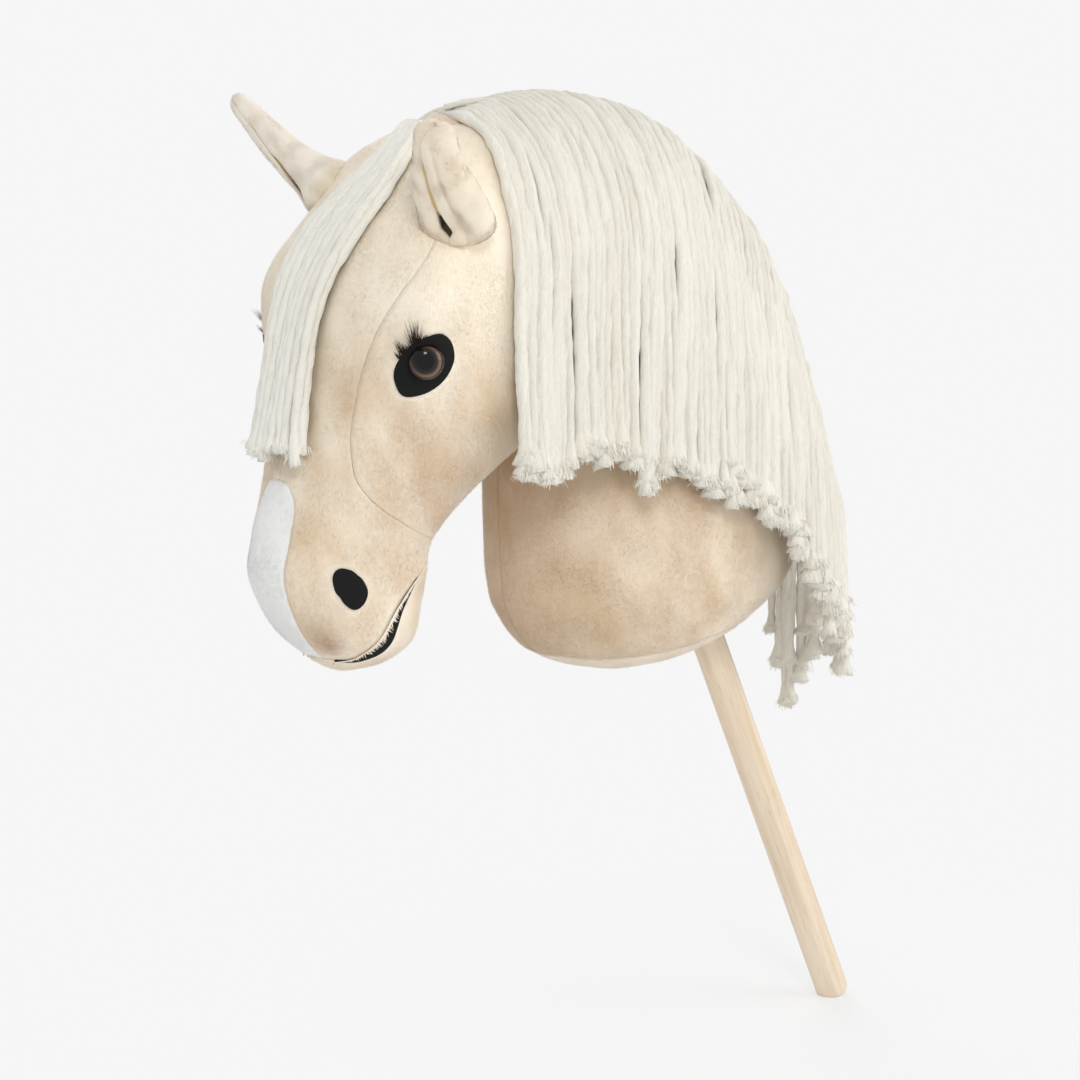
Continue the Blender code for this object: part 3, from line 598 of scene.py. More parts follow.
def bell(*distances: Array) -> Array:
    """A bell over any number of distances, in its own widths: e to the power of less their squares."""
    return np.exp(-sum(distance**2 for distance in distances))


def full_turn(count: int) -> Array:
    """Angles round a closed ring, evenly spaced from 0."""
    return np.linspace(0, 2 * math.pi, count, endpoint=False)


def spokes(turn: Array, first: Array, second: Array) -> Array:
    """One direction times the cosine of each angle plus another one times its sine."""
    return np.cos(turn)[:, None] * first + np.sin(turn)[:, None] * second


def outward(points: Array, guide: Array) -> tuple[Array, bool]:
    """Normals of a grid of points, across its rows and columns.

    Args:
        points: The grid, rows by columns by 3.
        guide: Directions that lie mostly outwards.

    Returns:
        The normals on the guide's side, and whether the grid's faces look the other way.
    """
    out = unit(np.cross(np.gradient(points, axis=1), np.gradient(points, axis=0)))
    facing = np.sign(np.sum(out * guide))
    return out * facing, facing < 0


def laid(direction: Array, out: Array) -> Array:
    """A direction laid along a surface with the given normals."""
    return unit(direction - (out @ direction)[..., None] * out)


def through(points: Sequence[tuple[float, float]], value: Array) -> Array:
    """A smooth value through (place, value) pairs: a cubic between neighbours with their mean slopes.

    Args:
        points: The pairs, in order of place.
        value: The places where the value is wanted.

    Returns:
        The values.
    """
    places, heights = np.array(points, float).T
    slopes = np.gradient(heights, places)
    i = np.clip(np.searchsorted(places, value) - 1, 0, len(places) - 2)
    width = places[i + 1] - places[i]
    t = np.clip((value - places[i]) / width, 0, 1)
    ends = (1 + 2 * t) * (1 - t) ** 2 * heights[i] + t**2 * (3 - 2 * t) * heights[i + 1]
    return ends + (t * (1 - t) ** 2 * slopes[i] - t**2 * (1 - t) * slopes[i + 1]) * width


@dataclass(frozen=True)
class StuffedForm:
    """A stuffed shape lofted through stations between a front and a back rail, round at both ends.

    A station is the front rail's x and z, the back rail's x and z, the half width, how square the
    section is, and how much wider it is in front. The swell and the domes are bells, each a station,
    an angle, a length in stations, a width in radians, and a height. The swell's height is a share
    of the half width, and a dome's is in millimetres.
    """

    stations: tuple[tuple[float, ...], ...]
    swell: tuple[float, ...] | None = None
    domes: tuple[tuple[float, ...], ...] = ()

    @property
    def last(self) -> int:
        """The number of the last station."""
        return len(self.stations) - 1

    def row(self, u: Array) -> Array:
        """The station values at u, by a Catmull-Rom curve whose ends are mirrored to close round.

        Args:
            u: Places along the form, 0 at the first station and 1 at the next.

        Returns:
            The seven values of a station, for each place.
        """
        rows = np.array(self.stations, float)
        before, after = rows[[1, -2]][:, [2, 3, 0, 1, 4, 5, 6]] * [1, 1, 1, 1, -1, 1, 1]
        rows = np.vstack([before, rows, after])
        i = np.clip(np.floor(u).astype(int), 0, self.last - 1)
        t = (u - i)[..., None]
        a, b, c, d = (rows[i + k] for k in range(4))
        bend = 2 * a - 5 * b + 4 * c - d
        return 0.5 * (2 * b + (c - a) * t + bend * t**2 + (3 * b - a - 3 * c + d) * t**3)

    def at(self, u: Array, v: Array) -> Array:
        """Points on the form.

        The section is an ellipse between the rails, made squarer by the square of the angle's cosine
        and swollen by a bell round the brow, and further bells round the forehead outwards.

        Args:
            u: The points' stations.
            v: Their angles from the front rail, positive towards the horse's left.

        Returns:
            The points.
        """
        u, v = np.broadcast_arrays(np.asarray(u, float), np.asarray(v, float))
        row = self.row(u)
        front, back = row[..., 0:2], row[..., 2:4]
        cosine, sine = np.cos(v), np.sin(v)
        xz = (front + back) / 2 + (front - back) / 2 * cosine[..., None]
        wide = row[..., 4] * (1 + row[..., 5] * cosine**2 + row[..., 6] * cosine)
        if self.swell:
            station, angle, along, around, height = self.swell
            turned = np.abs(np.arctan2(sine, cosine))
            wide = wide * (1 + height * bell((u - station) / along, (turned - angle) / around))
        reach = wide * sine
        for station, angle, along, around, height in self.domes:
            dome = height * bell((u - station) / along, (np.abs(v) - angle) / around)
            xz = xz + unit(front - back + 1e-6) * (cosine * dome)[..., None]
            reach = reach + sine * dome
        return np.stack([xz[..., 0], -reach, xz[..., 1]], -1)

    def slopes(self, u: Array, v: Array) -> tuple[Array, Array]:
        """Unit vectors along the form and round it, by small differences.

        Args:
            u: Stations.
            v: Angles from the front rail.

        Returns:
            The way along and the way round.
        """
        u, v = np.broadcast_arrays(np.asarray(u, float), np.asarray(v, float))
        u = np.clip(u, 0.02, self.last - 0.02)
        along = unit(self.at(u + 1e-3, v) - self.at(u - 1e-3, v))
        return along, unit(self.at(u, v + 1e-3) - self.at(u, v - 1e-3))

    def normal(self, u: Array, v: Array) -> Array:
        """Outward normals, across the two slopes."""
        along, around = self.slopes(u, v)
        return unit(np.cross(around, along))

    def off(self, u: Array, v: Array, distance: Array | float) -> Array:
        """Points at a distance outside the surface."""
        return self.at(u, v) + self.normal(u, v) * np.asarray(distance)[..., None]


HEAD = StuffedForm(
    (
        (-445, 308, -445, 308, 0, 0.10, 0.00),
        (-467, 316, -417, 314, 24, 0.10, 0.00),
        (-493, 338, -398, 327, 43, 0.10, 0.00),
        (-508, 363, -390, 355, 50, 0.10, 0.04),
        (-512, 384, -386, 377, 53, 0.12, 0.05),
        (-507, 408, -383, 397, 54, 0.18, 0.03),
        (-498, 439, -360, 424, 59, 0.25, 0.00),
        (-489, 471, -332, 448, 69, 0.35, 0.02),
        (-481, 503, -303, 476, 80, 0.45, 0.06),
        (-474, 539, -290, 517, 86, 0.50, 0.10),
        (-464, 574, -290, 563, 89, 0.50, 0.10),
        (-449, 606, -296, 608, 87, 0.45, 0.08),
        (-428, 635, -307, 646, 77, 0.40, 0.06),
        (-407, 659, -328, 671, 60, 0.35, 0.03),
        (-388, 675, -347, 684, 34, 0.25, 0.00),
        (-367, 684, -367, 684, 0, 0.25, 0.00),
    ),
    swell=(9.9, math.radians(46), 1.15, math.radians(26), 0.20),
    domes=(
        (9.9, math.radians(27), 1.25, math.radians(22), 8.0),
        (12.7, math.radians(38), 0.9, math.radians(22), 6.0),
    ),
)
NECK = StuffedForm(
    (
        (-213, 285, -213, 285, 0, 0.10, 0.00),
        (-274, 297, -148, 298, 50, 0.10, 0.00),
        (-306, 328, -94, 324, 72, 0.10, 0.00),
        (-315, 363, -62, 362, 80, 0.10, 0.00),
        (-317, 433, -54, 434, 84, 0.10, 0.00),
        (-314, 489, -69, 502, 82, 0.10, 0.00),
        (-314, 535, -97, 574, 75, 0.10, 0.00),
        (-323, 567, -141, 633, 68, 0.10, 0.00),
        (-342, 590, -199, 679, 59, 0.10, 0.00),
        (-364, 602, -265, 696, 53, 0.10, 0.00),
        (-387, 614, -327, 694, 44, 0.10, 0.00),
        (-397, 627, -370, 686, 30, 0.10, 0.00),
        (-388, 655, -388, 655, 0, 0.10, 0.00),
    )
)


@dataclass(frozen=True)
class Stick:
    """The round wooden stick and the line that it lies on."""

    radius: float = 12.5
    length: float = 500.0
    lean: float = math.radians(23.3)
    foot_flat: float = 7.0

    @property
    def axis(self) -> Array:
        """The stick's direction, from its foot up."""
        return np.array([-math.sin(self.lean), 0.0, math.cos(self.lean)])

    def build(self) -> None:
        """Makes the stick: a straight rod whose foot is rounded to a small flat."""
        bend = np.linspace(0, math.pi / 2, 12)
        rounding = self.radius - self.foot_flat
        foot = np.stack([self.foot_flat + rounding * np.sin(bend), rounding * (1 - np.cos(bend))], -1)
        shaft = np.stack([np.full(60, self.radius), np.linspace(rounding + 2, self.length - 2, 60)], -1)
        top = np.array([[-0.6, -0.6], [-2, 0], [0.01 - self.radius, 0]]) + [self.radius, self.length]
        profile = np.concatenate([[[0.01, 0.0]], foot, shaft, top])
        across = np.array([math.cos(self.lean), 0.0, math.sin(self.lean)])
        points = lathe(profile, spokes(full_turn(96), across, np.array([0.0, 1.0, 0.0])), self.axis)
        wood, beech = Surface.grid(points, closed=True), Beech("beech", self.lean).material()
        finish_piece(wood, "stick_wood", beech, "stick", "stick", body=Body.STICK)


def lathe(profile: Array, ring: Array, axis: Array) -> Array:
    """A profile of (radius, height) rows carried round an axis, as a grid of points."""
    return profile[:, :1, None] * ring + profile[:, 1:, None] * axis


def finish_piece(
    surface: Surface,
    name: str,
    material: Material,
    slot: str,
    *nodes: str,
    body: Body = Body.HORSE,
    bend: tuple[Sequence[float], Sequence[float]] | None = None,
    fill: float | None = None,
) -> None:
    """Makes a piece, ties it to its body unless a bend is given, and hides the CAD nodes that it replaces.

    Args:
        surface: The piece's surface.
        name: Its name.
        material: Its material.
        slot: The record's material slot; not used.
        nodes: The CAD nodes that it stands for.
        body: The body that it rides on.
        bend: Where it goes over from the horse to that body, as two places in metres; with it, the piece only
            has its place baked into its mesh and is not tied to the body.
        fill: How full it is stuffed, where it is a stuffed piece; not used.
    """
    piece = surface.build(name, material)
    if bend:
        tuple(bend[0])
        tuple(bend[1])
        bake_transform(piece)
    else:
        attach(piece, body.value)
    if nodes:
        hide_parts(*nodes)


@dataclass(frozen=True)
class Pile:
    """Short pile: thin pointed fibres that lean along the nap."""

    length: float = 2.0
    width: float = 0.34
    density: float = 1.7
    lean: float = 1.3
    scatter: float = 0.2

    def cover(
        self, points: Array, normals: Array, nap: Array, tone: Array, seed: int, keep: Array | None = None
    ) -> Surface:
        """Fibres over a grid of points, each a thin triangle from its root to its tip.

        A root is a random place on the grid, as likely as its area. Its fibre goes the pile's length
        from it, along the nap times the sine of the lean plus the normal times its cosine, with some
        scatter. Its shading normal is mostly the fabric's, as light falls into the pile.

        Args:
            points: The fabric's outside, rows by columns by 3.
            normals: Its normals.
            nap: The way the pile leans, along the fabric.
            tone: The fabric's tone, on the same grid.
            seed: The dice.
            keep: How dense the pile is at each point of the grid, from 0 to 1.

        Returns:
            The fibres.
        """
        dice = np.random.default_rng(seed)
        a, b, c, d = points[:-1, :-1], points[:-1, 1:], points[1:, 1:], points[1:, :-1]
        area = 0.5 * np.linalg.norm(np.cross(c - a, d - b), axis=-1)
        if keep is not None:
            area = area * (keep[:-1, :-1] + keep[:-1, 1:] + keep[1:, 1:] + keep[1:, :-1]) / 4
        area = area.ravel()
        count = int(area.sum() * self.density)
        cell = dice.choice(len(area), count, p=area / area.sum())
        row, column = np.divmod(cell, points.shape[1] - 1)
        s, t = dice.random((2, count))

        def between(grid: Array) -> Array:
            """The grid's value at each root, between its cell's four corners."""
            spots = [grid[row + down, column + over] for down in (0, 1) for over in (0, 1)]
            shares = ((1 - s) * (1 - t), (1 - s) * t, s * (1 - t), s * t)
            return sum(spot * share[:, None] for spot, share in zip(spots, shares))

        root, out, way = between(points), unit(between(normals)), unit(between(nap))
        shade = between(tone[..., None])
        side = np.cross(out, way)
        swirl = ripple(root, 55.0, seed + 1)[:, None] * 0.6
        way = unit(way + side * swirl + dice.normal(size=(count, 3)) * self.scatter)
        lean = (self.lean + ripple(root, 38.0, seed + 2) * 0.18)[:, None]
        tip = root + self.length * dice.uniform(0.75, 1.2, (count, 1)) * (
            way * np.sin(lean) + out * np.cos(lean)
        )
        across = unit(np.cross(tip - root, out)) * self.width / 2 * dice.uniform(0.7, 1.3, (count, 1))
        low = root - out * 0.25
        spots = np.stack([low - across, low + across, tip], 1).reshape(-1, 3)
        normal = unit(out + 0.09 * unit(dice.normal(size=(count, 3))) + 0.06 * way)
        mottle = dice.normal(size=(count, 1)) * 0.03
        # Painted shade at each fibre's root and painted light at its tip, over a random mottle of its own.
        shades = np.stack([shade - 0.03 + mottle] * 2 + [shade + 0.03 + mottle], 1).reshape(-1, 1)
        values = {"tone": shades, "normal": np.repeat(normal, 3, 0)}
        return Surface(spots, corners=np.arange(count * 3).reshape(-1, 3), values=values)


def travelled(points: Array, axis: int) -> Array:
    """How far each point lies from the first one along an axis of its grid."""
    steps = np.linalg.norm(np.diff(points, axis=axis), axis=-1)
    return np.cumsum(np.concatenate([np.zeros_like(steps.take([0], axis)), steps], axis), axis)


def side_distances(points: Array) -> Array:
    """How far each point of a grid is from its first row, last row, first column and last column."""
    down, over = travelled(points, 0), travelled(points, 1)
    return np.stack([down, down[-1] - down, over, over[:, -1:] - over])


@dataclass(frozen=True)
class Outline:
    """The outline of a felt patch, as (degrees, millimetres) pairs about a place on the head."""

    station: float
    angle: float
    table: Pairs

    def scales(self) -> tuple[float, float]:
        """Millimetres to a station and to a radian at the outline's middle.

        Returns:
            The two scales.
        """
        u, v, step = np.array(self.station), np.array(math.radians(self.angle)), 0.01
        along = np.linalg.norm(HEAD.at(u + step, v) - HEAD.at(u - step, v)) / (2 * step)
        around = np.linalg.norm(HEAD.at(u, v + step) - HEAD.at(u, v - step)) / (2 * step)
        return float(along), float(around)

    def radius(self, turn: Array) -> Array:
        """The outline's radius at each angle, in radians, rounded off between the measured places.

        Args:
            turn: The angles.

        Returns:
            The radii in millimetres.
        """
        degrees, radii = np.array(self.table).T
        order = np.argsort(degrees)
        degrees, radii = degrees[order], radii[order]
        degrees = np.concatenate([degrees - 360, degrees, degrees + 360])
        fine = np.radians(np.arange(-540, 541, 3))
        steps = np.interp(np.degrees(fine), degrees, np.tile(radii, 3))
        steps = np.convolve(np.pad(steps, 3, mode="edge"), np.ones(7) / 7, "valid")
        return np.interp(turn, fine, steps)

    def outside(self, u: Array, v: Array) -> Array:
        """How far points of the head, with v taken as positive, lie outside the outline.

        Args:
            u: Stations.
            v: Angles from the front, taken as positive.

        Returns:
            The distances in millimetres, below 0 inside.
        """
        along, around = self.scales()
        x, y = (u - self.station) * along, (v - math.radians(self.angle)) * around
        return np.hypot(x, y) - self.radius(np.arctan2(y, x))

    def spots(self, turn: Array, reach: Array) -> tuple[Array, Array]:
        """Stations and angles of places at angles and millimetres from the outline's middle.

        Args:
            turn: The angles in radians.
            reach: The distances.

        Returns:
            The stations and the angles on the head.
        """
        along, around = self.scales()
        u = self.station + reach * np.cos(turn) / along
        return u, math.radians(self.angle) + reach * np.sin(turn) / around

EYE_PATCH = Outline(
    8.805, 54.5,
    ((1, 25.0), (22, 23.9), (55, 21.9), (71, 21.9), (92, 20.9), (116, 20.7), (141, 21.4), (163, 22.8),
     (-178, 24.8), (-166, 26.1), (-151, 22.8), (-132, 20.5), (-112, 18.9), (-98, 17.9), (-79, 17.4),
     (-57, 18.6), (-36, 20.3), (-17, 22.6)),
)
NOSTRIL = Outline(
    3.70, 68.5,
    ((-29, 14.9), (-11, 12.4), (33, 9.8), (75, 11.4), (101, 14.1), (124, 15.5), (147, 16.1), (166, 16.0),
     (-175, 13.0), (-139, 8.9), (-85, 10.5), (-62, 13.3), (-48, 15.2)),
)


@dataclass(frozen=True)
class Seams:
    """The places of the head's seams, as station and degrees round from the nose."""

    cheek: Pairs = (
        (4.85, 180), (5.1, 135), (5.6, 88), (6.2, 57), (7.0, 39), (8.0, 30), (9.0, 29.5), (10.0, 34),
        (11.2, 48), (12.5, 56), (14.6, 60),
    )
    lip: Pairs = (
        (1.22, 66), (1.45, 85), (1.9, 96), (2.4, 101), (2.9, 110), (3.4, 118), (3.9, 128), (4.4, 148),
        (4.85, 180),
    )
    blaze: Pairs = (
        (1.22, 24), (2.6, 24.5), (4.0, 22.5), (5.1, 21.5), (5.8, 17), (6.15, 9),
    )
    blaze_top: float = 6.15


SEAMS = Seams()


@dataclass(frozen=True)
class Mouth:
    """The black line of the mouth, over the seam between the face and the chin.

    It is drawn in the flat map of the muzzle, where a point's distance and angle from the muzzle's
    pole are its station and its angle. Its places are station, degrees and half width in stations.
    """

    line: tuple[Triple, ...] = (
        (1.21, 40, 0.0), (1.22, 55, 0.05), (1.28, 69, 0.10), (1.46, 82, 0.16), (1.76, 93.5, 0.21),
        (2.1, 100, 0.20), (2.5, 105.5, 0.165), (2.9, 111, 0.13), (3.3, 117, 0.095), (3.65, 122.5, 0.05),
        (3.85, 126, 0.0),
    )
    to_mm: float = 27.0

    def centre(self, count: int) -> tuple[Array, Array, Array]:
        """The middle line in the flat map, the way across it and its half width, at so many places.

        Args:
            count: How many places.

        Returns:
            The places, the ways across and the half widths in stations.
        """
        u, v, half = np.array(self.line, float).T
        spots = np.stack([u * np.cos(np.radians(v)), u * np.sin(np.radians(v))], -1)
        steps = travelled(spots, 0)
        where = np.linspace(0, steps[-1], count)
        table = [through(tuple(zip(steps, value)), where) for value in (*spots.T, half)]
        middle = np.stack(table[:2], -1)
        along = unit(np.gradient(middle, axis=0))
        return middle, np.stack([-along[:, 1], along[:, 0]], -1), np.maximum(table[2], 0)

    def outside(self, u: Array, v: Array) -> Array:
        """How far points of the head, with v taken as positive, lie outside the mouth, in millimetres.

        Args:
            u: Stations.
            v: Angles from the front, taken as positive.

        Returns:
            The distances, below 0 inside.
        """
        middle, _, half = self.centre(40)
        spots = np.stack([u * np.cos(v), u * np.sin(v)], -1)
        gaps = np.linalg.norm(spots[..., None, :] - middle, axis=-1) - half
        return gaps.min(-1) * self.to_mm

    def grid(self, count: int, across: Array) -> tuple[Array, Array]:
        """Stations and angles along the mouth and across it, from -1 at the chin to 1 at the lip.

        Args:
            count: How many places along the mouth.
            across: The places across it.

        Returns:
            The stations and the angles.
        """
        middle, way, half = self.centre(count)
        spots = middle[:, None] + way[:, None] * (half[:, None] * across)[..., None]
        return np.hypot(spots[..., 0], spots[..., 1]), np.arctan2(spots[..., 1], spots[..., 0])


MOUTH = Mouth()


def head_tone(u: Array, v: Array) -> Array:
    """The tone of the face: airbrushed tan over the nose, painted shade over the lower cheeks, painted light
    over the forehead and brow, and pale round the felt patches.

    Each tan or painted shade place is a bell in station and angle. The pale rings fall off with the square
    of the distance outside each outline, and with that from the mouth.

    Args:
        u: Stations of the head.
        v: Angles from the front, taken as positive.

    Returns:
        The tone, from -1 where it is darkest to 1 where it is palest.
    """
    angle = np.degrees(v)
    # The first bell is the nose's airbrushed tan; the other two are painted shade over the lower cheeks.
    places = ((0.80, 1.95, 0.75, 43, 17), (0.14, 5.0, 1.5, 80, 45), (0.28, 6.8, 2.0, 115, 40))
    tan_and_painted_shade = sum(
        strength * bell((u - station) / length, (angle - middle) / width)
        for strength, station, length, middle, width in places
    )
    # Painted light makes the forehead and brow paler; the tone is also a little paler towards the muzzle.
    tan_and_painted_shade = tan_and_painted_shade - 0.8 * smooth((u - 8.0) / 2.0) - 0.1 * smooth((6.4 - u) / 2.0)
    eye, nostril, lips = (
        bell(np.maximum(shape.outside(u, v), 0) / width)
        for shape, width in ((EYE_PATCH, 4.0), (NOSTRIL, 3.5), (MOUTH, 7.0))
    )
    ring = np.maximum(eye, nostril)
    return np.maximum(ring, lips * 0.8) * 0.75 - tan_and_painted_shade * (1 - ring) * (1 - lips)


def head_cover(u: Array, v: Array) -> Array:
    """How dense the head's pile is at stations and angles: none under the felt."""
    return math.prod(smooth(shape.outside(u, v) / 1.2) for shape in (EYE_PATCH, NOSTRIL, MOUTH))


@dataclass
class Panel:
    """One sewn panel of plush over a grid of stations u and angles v."""

    node: str
    u: Array
    v: Array
    plush: Material
    seed: int
    nap: Triple
    rims: tuple[float | Array, ...]
    form: StuffedForm = HEAD
    slot: str = "cream_plush"
    tone: Callable[[Array, Array], Array] | None = head_tone
    cover: Callable[[Array, Array], Array] | None = head_cover
    pile: Pile = Pile()
    rim_width: float = 3.2
    pull_width: float = 12.0
    skin: float = 3.2

    def build(self) -> None:
        """Makes the panel and its pile: pulled in along its seams, and a little uneven.

        The outside is the form plus its unevenness, less a rim: the rim's depth times the square of
        one less the distance over the rim's width, and a broader, shallower one that puckers.
        """
        u, v = np.broadcast_arrays(self.u, self.v)
        flat, normal = self.form.at(u, v), self.form.normal(u, v)
        depth = np.zeros(u.shape)
        pucker = 0.38 * (1 + 0.5 * ripple(flat, 11.0, self.seed + 7))
        for distance, rim in zip(side_distances(flat), self.rims):
            widths = self.rim_width, self.pull_width
            tight, broad = (np.clip(1 - distance / width, 0, 1) ** 2 for width in widths)
            depth = np.maximum(depth, rim * (tight + pucker * broad))
        lumps = 0.7 * ripple(flat, 62.0, 11) + 0.3 * ripple(flat, 24.0, 12)
        outer = flat + normal * (lumps - depth - 0.4)[..., None]
        inner = self.form.off(u, v, -self.skin)
        tone = np.zeros(u.shape) if self.tone is None else self.tone(u, np.abs(v))
        keep = None if self.cover is None else self.cover(u, np.abs(v))
        out, inwards = outward(outer, normal)
        # The skin under the pile is painted a little darker than its tone, painted shade at the pile's roots.
        body = Surface.shell(outer, inner, tone=tone - 0.03).turned_out(inwards)
        finish_piece(body, f"{self.node}_sewn", self.plush, self.slot, self.node, fill=0.9)
        fibres = self.pile.cover(outer, out, laid(np.array(self.nap), out), tone, self.seed, keep)
        finish_piece(fibres, f"{self.node}_pile", self.plush, self.slot)


def patch(node: str, outline: Outline, side: Side, material: Material, lift: float) -> None:
    """Makes a felt patch that lies on the head inside an outline, thick and rounded at its rim.

    Rings from the middle to the rim lie at the patch's full height over the skin, and the last few
    follow a quarter circle down to its underside.

    Args:
        node: The CAD node that it replaces.
        outline: The patch's outline.
        side: The side of the head.
        material: The felt.
        lift: How high its underside lies over the skin.
    """
    bend, thickness = np.linspace(0, math.pi / 2, 5), 1.3
    shares = np.concatenate([np.linspace(0.001, 0.93, 12), 0.95 + 0.05 * np.sin(bend), [0.93, 0.5, 0.001]])
    height = np.concatenate([np.full(12, 1.0), np.cos(bend), [0.0, 0.0, 0.0]]) * thickness + lift
    turn = np.linspace(-math.pi, math.pi, 96, endpoint=False)
    u, v = outline.spots(turn, outline.radius(turn) * shares[:, None])
    points = HEAD.off(u, side.value * v, np.broadcast_to(height[:, None], u.shape))
    felt = Surface.grid(points, closed=True).turned_out(side is Side.RIGHT)
    finish_piece(felt, f"{node}_felt", material, "black_felt", node)


@dataclass(frozen=True)
class Head:
    """The stuffed head: its filling, its sewn panels, its mouth and nostrils."""

    step: float = 0.085
    gap: float = 0.003
    tuck: float = 4.2

    def rows(self, first: float, last: float) -> Array:
        """Stations from first to last, about 2.5 mm apart."""
        return np.linspace(first, last, max(int((last - first) / self.step), 8))

    def build(self) -> None:
        """Builds the head."""
        cream = Plush("cream_plush", (239, 226, 206), (222, 200, 171), pale=(247, 237, 219)).material()
        white = Plush("white_plush", (247, 247, 245), (238, 238, 236), pale=(248, 248, 247)).material()
        felt = Felt("black_felt").material()
        self.build_filling()
        for side in Side:
            self.build_face(side, cream)
            self.build_cheek(side, cream)
            self.build_mouth(side, felt)
            self.build_lip_fringe(side, cream)
            patch(f"nostril_{side.word}", NOSTRIL, side, felt, 0.2)
            patch(f"eye_patch_{side.word}", EYE_PATCH, side, felt, 0.5)
        self.build_blaze(white)
        self.build_chin(cream)

    def build_filling(self) -> None:
        """The stuffing under the panels, one closed loft a little inside them."""
        u = HEAD.last * (0.5 - 0.5 * np.cos(np.linspace(0.004, math.pi - 0.004, 70)))
        points = HEAD.off(u[:, None], full_turn(72), -self.tuck)
        wool = Plush("stuffing", (222, 212, 196), (205, 192, 172)).material()
        finish_piece(
            Surface.grid(points, closed=True), "head_stuffing", wool, "stuffing", "head_filling", fill=0.9
        )

    def blaze_edge(self, side: Side, u: Array) -> Array:
        """The angle of the blaze's edge: the right one is a little further round than the left.

        Args:
            side: The side of the horse.
            u: Stations.

        Returns:
            The angles, 0 above the blaze.
        """
        edge = np.radians(through(SEAMS.blaze, np.minimum(u, SEAMS.blaze_top)))
        if side is Side.RIGHT:
            edge = edge + math.radians(7) * smooth((SEAMS.blaze_top - u) / 1.2)
        return np.where(u < SEAMS.blaze_top, edge, 0.0)

    def blaze_side(self, side: Side, u: Array) -> Array:
        """The angle of the blaze panel's own side, whose top is tucked under the face."""
        return self.blaze_edge(side, np.minimum(u, SEAMS.blaze_top - 0.01)) - self.gap

    def seam_rim(self, u: Array) -> Array:
        """How deep the curved seam is pulled in: plainly below the cheek and faintly above it."""
        return 0.12 + 0.33 * smooth((7.6 - u) / 1.6)

    def build_face(self, side: Side, cream: Material) -> None:
        """A face panel, from the forehead down beside the blaze to the lip and back to the cheek seam.

        Args:
            side: The side of the horse.
            cream: The plush.
        """
        u = self.rows(1.24, 14.85)[:, None]
        far = np.radians(np.where(u < SEAMS.lip[-1][0], through(SEAMS.lip, u), through(SEAMS.cheek, u)))
        near = self.blaze_edge(side, u)
        v = near + self.gap / 2 + (far - near - self.gap) * np.linspace(0, 1, 44)
        nap, rims = (-0.25, -0.15 * side.value, -1.0), (0.8, 0.8, 0.3, self.seam_rim(u))
        Panel(f"face_panel_{side.word}", u, side.value * v, cream, 21 + side.value, nap, rims).build()

    def build_cheek(self, side: Side, cream: Material) -> None:
        """A cheek panel, from the curved seam round the jaw to the middle of the throat.

        Args:
            side: The side of the horse.
            cream: The plush.
        """
        u = self.rows(5.0, 14.85)[:, None]
        near = np.radians(through(SEAMS.cheek, u)) + self.gap
        v = near + (math.pi - near - self.gap / 2) * np.linspace(0, 1, 64)
        nap, rims = (0.35, -0.1 * side.value, -1.0), (0.6, 0.8, self.seam_rim(u), 0.9)
        Panel(f"cheek_panel_{side.word}", u, side.value * v, cream, 31 + side.value, nap, rims).build()

    def build_blaze(self, white: Material) -> None:
        """The white panel let in down the nose.

        Args:
            white: The white plush.
        """
        u = self.rows(1.26, 6.22)[:, None]
        left, right = (self.blaze_side(side, u) for side in Side)
        v = -right + (left + right) * np.linspace(0, 1, 28)
        Panel(
            "blaze_panel", u, v, white, 41, (-0.2, 0.0, -1.0), (0.5, 1.6, 0.3, 0.3),
            slot="white_plush", tone=None, cover=None,
        ).build()

    def build_chin(self, cream: Material) -> None:
        """The chin and lower lip in one panel.

        It covers the muzzle's end, so its grid is laid flat over it: each row is a line of points
        whose distance and angle from the muzzle's pole are a station and an angle of the head.

        Args:
            cream: The plush.
        """
        first, last = SEAMS.lip[0][0], SEAMS.lip[-1][0]
        station = np.linspace(first, last, 80)
        angle = np.radians(through(SEAMS.lip, station))
        along, reach = station * np.cos(angle), station * np.sin(angle)
        start = np.array([0.97, 0.9, 0.8, 0.65]) * first
        back = along < 0.37 * first
        along = np.concatenate([start, along[back]])
        reach = np.concatenate([np.sqrt(first**2 - start**2), reach[back]])
        a = np.linspace(1.14, -4.7, 64)[:, None]
        b = (np.interp(-a, -along, reach) * 0.985 - 0.02) * np.linspace(-1, 1, 44)
        Panel("chin_panel", np.hypot(a, b), np.arctan2(b, a), cream, 51, (0.9, 0.0, -1.0), (0.7,) * 4).build()

    def build_mouth(self, side: Side, felt: Material) -> None:
        """The black lining seen along the mouth, raised in the middle by the root of a cosine.

        Args:
            side: The side of the horse.
            felt: The black felt.
        """
        across = np.linspace(-1, 1, 9)
        u, v = MOUTH.grid(90, np.linspace(-1.25, 1, 9))
        v = side.value * v
        rise = 0.9 * np.cos(across * math.pi / 2) ** 0.5
        lining = Surface.shell(HEAD.off(u, v, rise - 0.35), HEAD.off(u, v, -1.2))
        lining.turned_out(side is Side.RIGHT)
        finish_piece(lining, f"mouth_{side.word}_felt", felt, "black_felt", f"mouth_lining_{side.word}")

